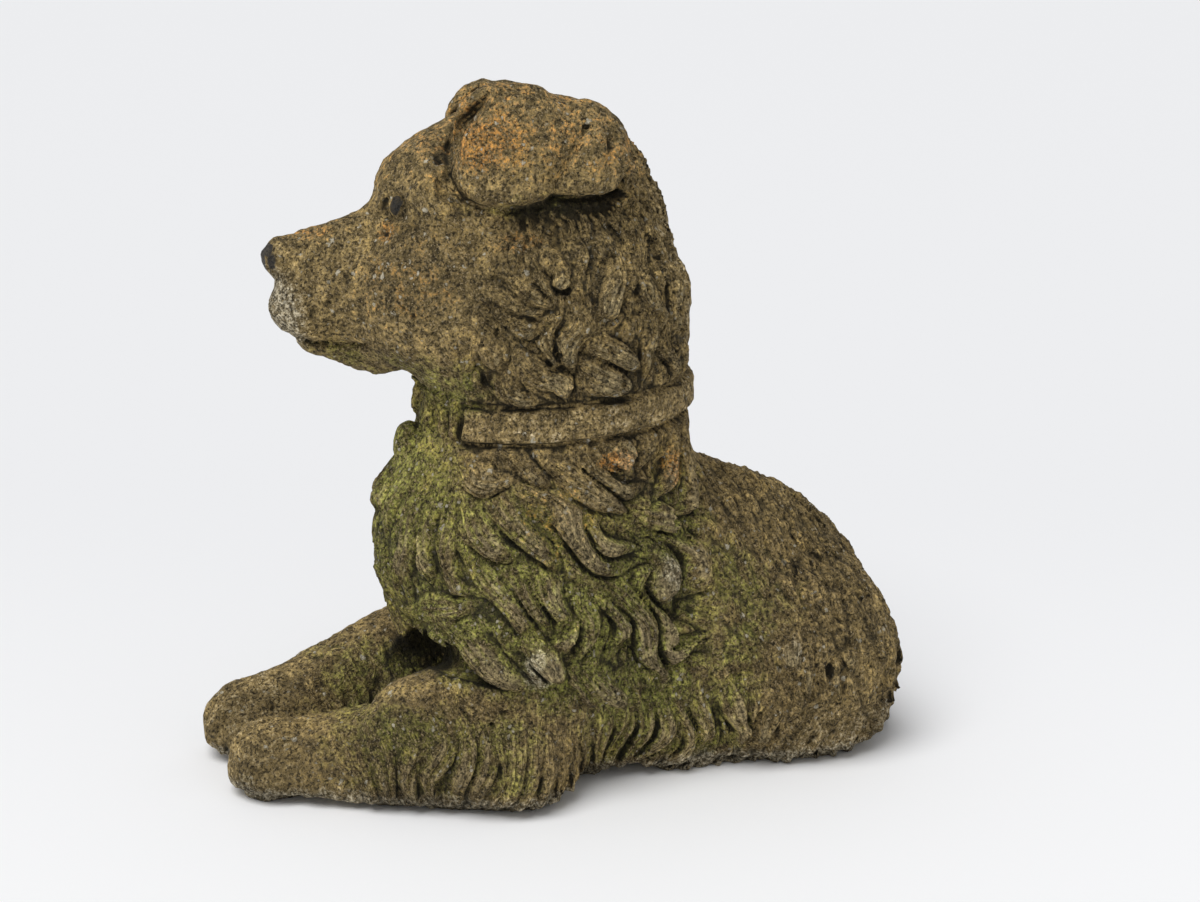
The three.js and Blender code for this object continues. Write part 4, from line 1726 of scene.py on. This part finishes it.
    def pigment(self, p: Array) -> Array:
        """Old dark pigment: the depth inside the eyes' and nostrils' painted areas, in drawing units.

        Args:
            p: places in drawing units.

        Returns:
            The depth at each place, negative outside.
        """
        mirrored = folded(POSE.local(p))
        eye = Limb((28.0, -71.5, 270.5), (27.5, -74.5, 264.5), 3.4, 3.0)
        nostril = Limb((11.0, -129, 245), (8.5, -129, 234), 3.0, 2.8)
        spot = Mass((6.0, -131, 249), (6.5, 5.0, 3.4))
        front = Mass((0.0, -133, 242), (7.0, 3.5, 8.0))
        nose = [form.distance(mirrored) for form in (nostril, spot, front)]
        return -np.minimum.reduce([*nose, eye.distance(mirrored)])


# Shader


Number = Union[float, "Value"]


class Value:
    """A shader socket that takes part in arithmetic by adding Math nodes."""

    def __init__(self, nodes: Nodes, socket: bpy.types.NodeSocket) -> None:
        """Keeps the socket and the node tree that it is in."""
        self.nodes = nodes
        self.socket = socket

    def math(self, operation: str, *others: Number) -> Value:
        """Adds a Math node.

        Args:
            operation: the node's operation.
            others: what it takes after this value.

        Returns:
            The node's result.
        """
        inputs = dict(enumerate((self, *others)))
        node = self.nodes.add("ShaderNodeMath", {"operation": operation}, inputs)
        return Value(self.nodes, node.outputs[0])

    def __add__(self, other: Number) -> Value:
        """This plus other."""
        return self.math("ADD", other)

    __radd__ = __add__

    def __mul__(self, other: Number) -> Value:
        """This times other."""
        return self.math("MULTIPLY", other)

    __rmul__ = __mul__

    def __sub__(self, other: Number) -> Value:
        """This less other."""
        return self.math("SUBTRACT", other)

    def __rsub__(self, other: Number) -> Value:
        """Other less this."""
        return (self * -1.0) + other

    def highest(self, other: Number) -> Value:
        """The larger of the two."""
        return self.math("MAXIMUM", other)

    def lowest(self, other: Number) -> Value:
        """The smaller of the two."""
        return self.math("MINIMUM", other)

    def power(self, other: Number) -> Value:
        """This to the power of other."""
        return self.math("POWER", other)

    def sine(self) -> Value:
        """The sine of this."""
        return self.math("SINE")

    def eased(self, low: float, high: float) -> Value:
        """0 below low, 1 above high, eased between."""
        node = self.nodes.add(
            "ShaderNodeMapRange",
            {"interpolation_type": "SMOOTHSTEP"},
            {"Value": self, "From Min": low, "From Max": high},
        )
        return Value(self.nodes, node.outputs["Result"])


class Nodes:
    """A material's node tree, built by whole expressions."""

    def __init__(self, name: str) -> None:
        """Makes the material, its empty node tree and its Object coordinates.

        Args:
            name: the material's name.
        """
        self.material = bpy.data.materials.new(name)
        self.material.use_nodes = True
        self.tree = self.material.node_tree
        self.tree.nodes.clear()
        self.places = self.add("ShaderNodeTexCoord", {}, {}).outputs["Object"]

    def add(self, kind: str, settings: dict, inputs: dict) -> bpy.types.Node:
        """Adds a node.

        Args:
            kind: the node's type.
            settings: its properties, set first.
            inputs: for each socket, by name or number, a value or what to link to it.

        Returns:
            The node.
        """
        node = self.tree.nodes.new(kind)
        for name, value in settings.items():
            setattr(node, name, value)
        for name, value in inputs.items():
            socket = value.socket if isinstance(value, Value) else value
            if isinstance(socket, bpy.types.NodeSocket):
                self.tree.links.new(socket, node.inputs[name])
            else:
                node.inputs[name].default_value = socket
        return node

    def attribute(self, name: str) -> Value:
        """One of the piece's own attributes."""
        node = self.add("ShaderNodeAttribute", {"attribute_name": name}, {})
        return Value(self, node.outputs["Fac"])

    def noise(self, size: float, detail: float = 2.0, roughness: float = 0.5) -> Value:
        """Noise from about 0 to 1 with lumps of this size in metres."""
        node = self.add(
            "ShaderNodeTexNoise",
            {},
            {
                "Vector": self.places,
                "Scale": 1.0 / size,
                "Detail": detail,
                "Roughness": roughness,
            },
        )
        return Value(self, node.outputs["Fac"])

    def crumbs(self, size: float) -> tuple[Value, Value]:
        """Cells of this size in metres: the distance to each cell's centre, and a number of its own.

        Args:
            size: the size of a cell.

        Returns:
            The distance and the number.
        """
        node = self.add(
            "ShaderNodeTexVoronoi", {}, {"Vector": self.places, "Scale": 1.0 / size}
        )
        parts = self.add(
            "ShaderNodeSeparateColor", {}, {"Color": node.outputs["Color"]}
        )
        return Value(self, node.outputs["Distance"]), Value(self, parts.outputs["Red"])

    def mix(self, share: Number, a: object, b: object, blend: str = "MIX") -> object:
        """Mixes two colours."""
        node = self.add(
            "ShaderNodeMix",
            {"data_type": "RGBA", "blend_type": blend},
            {"Factor": share, 6: a, 7: b},
        )
        return node.outputs[2]


Colour = tuple[float, float, float, float]


@dataclass
class Textures:
    """The noises and attributes that the layers of the stone's finish share."""

    nodes: Nodes

    def __post_init__(self) -> None:
        """Makes each of them once."""
        n = self.nodes
        self.cavity, self.wear, self.shade, self.hair = (
            n.attribute(name) for name in ("cavity", "wear", "shade", "hair")
        )
        self.broad, self.patch = n.noise(0.050, 4.0), n.noise(0.016, 5.0, 0.6)
        self.mottle = n.noise(0.0052, 5.0, 0.65).eased(0.30, 0.70)
        self.fine = n.noise(0.0017, 3.0, 0.7).eased(0.30, 0.70)
        self.speck, self.pock = n.noise(0.0010, 2.0, 0.6), n.noise(0.0016, 3.0, 0.6)


@dataclass(frozen=True)
class CastStone:
    """Weathered cast stone with its aggregate, moss, lichen, dark pits and painted shade. Colours are linear.
    """

    brown_dark: Colour = (0.125, 0.090, 0.036, 1.0)
    brown_light: Colour = (0.41, 0.295, 0.122, 1.0)
    rust_dark: Colour = (0.26, 0.105, 0.024, 1.0)
    rust_light: Colour = (0.55, 0.23, 0.045, 1.0)
    moss_deep: Colour = (0.115, 0.112, 0.024, 1.0)
    moss_bright: Colour = (0.275, 0.285, 0.062, 1.0)
    bare_dark: Colour = (0.20, 0.172, 0.112, 1.0)
    bare_light: Colour = (0.47, 0.42, 0.31, 1.0)
    worn: Colour = (0.44, 0.38, 0.23, 1.0)
    # Near black: dark pits in the stone, and painted shade in its hollows.
    dark_pits_and_shade: Colour = (0.016, 0.014, 0.008, 1.0)
    grain_pale: Colour = (0.62, 0.56, 0.42, 1.0)
    grain_tan: Colour = (0.46, 0.35, 0.19, 1.0)
    pigment: Colour = (0.021, 0.021, 0.021, 1.0)
    ochre: Colour = (0.36, 0.235, 0.060, 1.0)
    roughness: float = 0.92

    def ground(self, t: Textures) -> object:
        """The brown stone, darker and lighter in patches.

        Args:
            t: the textures.

        Returns:
            The colour.
        """
        share = (t.broad * 0.5 + t.mottle * 0.35 + t.patch * 0.5 - 0.15).eased(0.2, 0.85)
        return t.nodes.mix(share, self.brown_dark, self.brown_light)

    def overgrown(self, t: Textures, colour: object) -> object:
        """Lays moss, then orange lichen, then a stain of ochre over a colour.

        Args:
            t: the textures.
            colour: what they grow on.

        Returns:
            The colour.
        """
        n = t.nodes
        green = (
            n.attribute("moss") * 1.3
            + (t.patch - 0.5) * 1.7
            + (t.mottle - 0.5) * 0.5
            - t.wear * 0.55
            + t.cavity * 0.25
            - 0.28
        ).eased(0.0, 0.9)
        bright = t.mottle * 0.5 + t.patch * 0.4 + t.shade * 0.05 + t.fine * 0.3
        moss = n.mix(bright.eased(0.25, 0.95), self.moss_deep, self.moss_bright)
        colour = n.mix(green * 0.85, colour, moss)
        orange = (
            n.attribute("rust") * 0.95
            + (t.patch - 0.5) * 1.6
            + (t.mottle - 0.5) * 0.7
            + (t.fine - 0.5) * 0.7
            - 0.50
        ).eased(0.0, 0.9)
        lichen = n.mix(t.fine.eased(0.3, 0.7), self.rust_dark, self.rust_light)
        colour = n.mix(orange * 0.75, colour, lichen)
        stain = (t.broad + (t.patch - 0.5) * 1.2 + (t.mottle - 0.5) * 0.5).eased(0.52, 0.95)
        return n.mix(stain * 0.35, colour, self.ochre)

    def weathered(self, t: Textures, colour: object) -> object:
        """Lays bare pale stone over a colour, then wear on the tops of the locks.

        Args:
            t: the textures.
            colour: what they lie on.

        Returns:
            The colour.
        """
        n = t.nodes
        pale = (
            n.attribute("bare") * 1.15
            + (t.patch - 0.5) * 1.4
            + (t.mottle - 0.5) * 0.6
            + (t.fine - 0.5) * 0.4
            - 0.42
        ).eased(0.0, 0.8)
        bare = n.mix(t.fine.eased(0.3, 0.7), self.bare_dark, self.bare_light)
        colour = n.mix(pale * 0.8, colour, bare)
        worn = (t.wear + (t.mottle - 0.5) * 0.5 - 0.25).eased(0.0, 0.8)
        return n.mix(worn * 0.3, colour, self.worn)

    def strands(self, t: Textures) -> Value:
        """The fine strands along each lock: two sines of the place across it, where there is hair.

        Args:
            t: the textures.

        Returns:
            The strands' height, from 0 to 1.
        """
        lie = t.nodes.attribute("across") + (t.mottle - 0.5) * 0.8
        coarse = ((lie * 1.9 + t.shade * 3.0).sine() + 1.0) * 0.34
        return (coarse + ((lie * 4.1).sine() + 1.0) * 0.16) * t.hair

    def toned(self, t: Textures, colour: object, strands: Value) -> object:
        """Tones a colour by lock, grain and darker patches, with painted shade and light on the strands.

        Args:
            t: the textures.
            colour: the colour.
            strands: the strands' height.

        Returns:
            The colour.
        """
        tone = (1.0 + t.shade * 0.12) * (t.fine * 1.20 + 0.39) * (t.mottle * 0.66 + 0.68)
        # Painted shade and light: the strands' grooves darker and their ridges lighter.
        lines = (strands - t.hair * 0.5) * 0.6 + 1.0
        darkened = (t.nodes.attribute("darkening") + (t.patch - 0.5) * 0.8).eased(0.1, 0.9)
        return self.times(t.nodes, colour, tone * lines * (1.0 - darkened * 0.38))

    def grains(self, t: Textures) -> Value:
        """The pale grains of the aggregate, and a few larger chips.

        Args:
            t: the textures.

        Returns:
            Their share.
        """
        distance, number = t.nodes.crumbs(0.0024)
        distance = distance + (t.fine - 0.5) * 0.5
        grains = number.eased(0.88, 0.91) * distance.eased(0.36, 0.22)
        grains = grains * t.patch.eased(0.38, 0.58)
        distance, number = t.nodes.crumbs(0.0044)
        distance = distance + (t.fine - 0.5) * 0.35
        return grains.highest(number.eased(0.955, 0.965) * distance.eased(0.30, 0.20))

    def material(self) -> bpy.types.Material:
        """Builds the material, layer by layer.

        Returns:
            The material, with its colour, roughness and bump from its nodes.
        """
        n = Nodes("cast_stone")
        t = Textures(n)
        strands, grains = self.strands(t), self.grains(t)
        specks, pocks = t.speck.eased(0.54, 0.64), t.pock.eased(0.45, 0.36)
        # Painted shade: closed-in places and the trenches between locks are darkened towards near black.
        painted_shade = (t.cavity * 1.1 + (t.mottle - 0.5) * 0.2).eased(0.18, 1.0)
        painted = (n.attribute("pigment") + (t.fine - 0.5) * 0.7).eased(0.0, 0.6)
        colour = self.weathered(t, self.overgrown(t, self.ground(t)))
        colour = self.toned(t, colour, strands)
        colour = n.mix(specks * 0.65, colour, self.grain_tan)
        colour = n.mix(pocks * 0.75, colour, self.dark_pits_and_shade)
        colour = n.mix(grains * 0.85, colour, self.grain_pale)
        colour = n.mix(painted_shade * 0.93, colour, self.dark_pits_and_shade)
        colour = n.mix(painted * 0.92, colour, self.pigment)
        height = (
            t.fine * 0.22
            + t.mottle * 0.30
            - pocks * 0.45
            + specks * 0.15
            + grains * 0.35
            + strands * 0.75
        )
        bump = n.add(
            "ShaderNodeBump", {}, {"Height": height, "Strength": 1.0, "Distance": 0.0020}
        )
        shader = n.add(
            "ShaderNodeBsdfPrincipled",
            {},
            {
                "Base Color": colour,
                "Roughness": self.roughness - painted * 0.45,
                "Specular IOR Level": 0.25,
                "Normal": bump.outputs["Normal"],
            },
        )
        n.add("ShaderNodeOutputMaterial", {}, {"Surface": shader.outputs["BSDF"]})
        return n.material

    @staticmethod
    def times(n: Nodes, colour: object, tone: Value) -> object:
        """Multiplies a colour by a value."""
        node = n.add(
            "ShaderNodeVectorMath", {"operation": "SCALE"}, {0: colour, "Scale": tone}
        )
        return node.outputs["Vector"]


@dataclass
class TerrierStone:
    """The piece that is shown: the figure's mesh, its attributes and its finish."""

    figure: Figure
    weathering: Weathering
    finish: CastStone

    def build(self) -> bpy.types.Object:
        """Makes the piece and dresses it.

        Returns:
            The object, at the origin.
        """
        self.figure.measure()
        mesh = self.figure.mesh()
        count = len(mesh.vertices)
        co = np.empty(count * 3, np.float32)
        mesh.vertices.foreach_get("co", co)
        points = co.reshape(-1, 3).astype(np.float64)
        direction = np.empty(count * 3, np.float32)
        mesh.vertex_normals.foreach_get("vector", direction)
        self.paint(mesh, points.T, direction.reshape(-1, 3).T.astype(np.float64))
        set_places = self.figure.set_in_frame(points)
        mesh.vertices.foreach_set("co", set_places.astype(np.float32).ravel())
        mesh.polygons.foreach_set("use_smooth", np.ones(len(mesh.polygons), bool))
        mesh.update()
        mesh.materials.clear()
        mesh.materials.append(self.finish.material())
        piece = bpy.data.objects.new("terrier_stone", mesh)
        bpy.context.scene.collection.objects.link(piece)
        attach(piece, "root")
        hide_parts("terrier")
        return piece

    def paint(self, mesh: bpy.types.Mesh, p: Array, normal: Array) -> None:
        """Writes the attributes that the finish reads.

        Args:
            mesh: the mesh, still in drawing units.
            p: its points, as three rows.
            normal: its outward directions.
        """
        figure, weathering = self.figure, self.weathering
        height, across, shade, fur = figure.coat.read(p, figure.normal(p))
        open_share = figure.openness(p, normal)
        # Painted shade: cavity darkens closed-in places, the trenches between locks and the cave under the
        # mane in the finish; it also draws moss into hollows.
        trench = smooth_step(1.2, -1.0, height) * fur
        cave_shade = 1.3 * weathering.spot(p, (10, -86, 54), (58, 28, 30)) * (p[0] > -26)
        cave_shade = cave_shade * smooth_step(0.99, 0.80, open_share)
        cavity = np.maximum.reduce(
            [smooth_step(0.78, 0.30, open_share), 0.85 * trench, cave_shade]
        )
        wear = smooth_step(0.80, 0.98, open_share) * smooth_step(1.5, 5.0, height)
        shown = {
            "cavity": cavity,
            "wear": wear,
            "shade": shade,
            "across": across,
            "hair": fur * smooth_step(0.2, 1.2, height),
            "rust": weathering.rust(p),
            "moss": weathering.moss(p, normal),
            "bare": weathering.bare(p),
            "pigment": weathering.pigment(p),
            "darkening": weathering.darkening(p),
        }
        for name, values in shown.items():
            attribute = mesh.attributes.new(name, "FLOAT", "POINT")
            attribute.data.foreach_set("value", values.astype(np.float32))


# Studio


@dataclass
class Studio:
    """The pale floor, the soft light and the camera at the photograph's view."""

    azimuth: float = 76.0
    elevation: float = 15.0
    distance: float = 1.100
    target_height: float = 0.147
    lens: float = 69.0
    sensor: float = 36.0
    floor_size: float = 60.0
    # Floor colours far from and near the camera; the nearer one is lighter, as painted light.
    floor_far: Colour = (0.865, 0.868, 0.878, 1.0)
    floor_near: Colour = (0.965, 0.967, 0.972, 1.0)
    world_strength: float = 0.44
    sun_strength: float = 2.0
    sun_angle: float = math.radians(42.0)
    sun_azimuth: float = 42.0
    sun_elevation: float = 62.0

    def build(self, shift: Array) -> None:
        """Makes the floor, light and camera.

        Args:
            shift: where the drawing's own origin lies in the frame, in metres.
        """
        self.make_floor()
        self.make_light()
        self.make_camera(shift)

    @staticmethod
    def outward(azimuth: float, elevation: float) -> Vector:
        """The direction from the object at this azimuth from -Y towards +X and this elevation."""
        a, e = math.radians(azimuth), math.radians(elevation)
        return Vector(
            (math.sin(a) * math.cos(e), -math.cos(a) * math.cos(e), math.sin(e))
        )

    def make_floor(self) -> None:
        """A wide flat square floor, with painted light making it lighter towards the camera."""
        half = self.floor_size / 2
        corners = [(-half, -half, 0), (half, -half, 0), (half, half, 0), (-half, half, 0)]
        mesh = bpy.data.meshes.new("studio_floor")
        mesh.from_pydata(corners, [], [(0, 1, 2, 3)])
        nodes = Nodes("studio_paper")
        ahead = nodes.add(
            "ShaderNodeVectorMath",
            {"operation": "DOT_PRODUCT"},
            {0: nodes.places, 1: tuple(self.outward(self.azimuth, 0.0))},
        )
        # Painted light: the floor's colour is lighter towards the camera.
        painted_floor_light = Value(nodes, ahead.outputs["Value"]).eased(-0.5, 0.35)
        shader = nodes.add(
            "ShaderNodeBsdfPrincipled",
            {},
            {
                "Base Color": nodes.mix(painted_floor_light, self.floor_far, self.floor_near),
                "Roughness": 0.9,
                "Specular IOR Level": 0.1,
            },
        )
        nodes.add("ShaderNodeOutputMaterial", {}, {"Surface": shader.outputs["BSDF"]})
        mesh.materials.append(nodes.material)
        floor = bpy.data.objects.new("studio_floor", mesh)
        bpy.context.scene.collection.objects.link(floor)

    def make_light(self) -> None:
        """A pale world and one broad sun, as from a large softbox overhead."""
        world = bpy.data.worlds.new("studio_light")
        world.use_nodes = True
        background = world.node_tree.nodes["Background"]
        background.inputs["Color"].default_value = (0.97, 0.98, 1.0, 1.0)
        background.inputs["Strength"].default_value = self.world_strength
        bpy.context.scene.world = world
        sun = bpy.data.lights.new("softbox", "SUN")
        sun.energy = self.sun_strength
        sun.angle = self.sun_angle
        lamp = bpy.data.objects.new("softbox", sun)
        towards = self.outward(self.sun_azimuth, self.sun_elevation)
        lamp.rotation_mode = "QUATERNION"
        lamp.rotation_quaternion = (-towards).to_track_quat("-Z", "Y")
        bpy.context.scene.collection.objects.link(lamp)

    def make_camera(self, shift: Array) -> None:
        """The camera, looking at the middle of the photograph's frame.

        Args:
            shift: where the drawing's own origin lies in the frame, in metres.
        """
        data = bpy.data.cameras.new("camera")
        data.lens = self.lens
        data.sensor_width = self.sensor
        camera = bpy.data.objects.new("camera", data)
        back = self.outward(self.azimuth, self.elevation)
        target = Vector((shift[0], shift[1], self.target_height))
        camera.location = target + back * self.distance
        camera.rotation_mode = "QUATERNION"
        camera.rotation_quaternion = (-back).to_track_quat("-Z", "Y")
        bpy.context.scene.collection.objects.link(camera)
        bpy.context.scene.camera = camera
        bpy.context.scene.view_settings.view_transform = "Standard"


def main() -> None:
    """Builds the statue and the studio in order."""
    logging.basicConfig(level=logging.INFO, format="%(name)s: %(message)s")
    head, collar = Head(), Collar()
    step = FULL_STEP
    figure = Figure(Coat(collar, head), Trunk(collar, head), Forelegs(), head, step)
    piece = TerrierStone(figure, Weathering(collar), CastStone()).build()
    LOG.info("%s: %d faces", piece.name, len(piece.data.polygons))
    Studio().build(figure.shift)


if __name__ == "__main__":
    main()
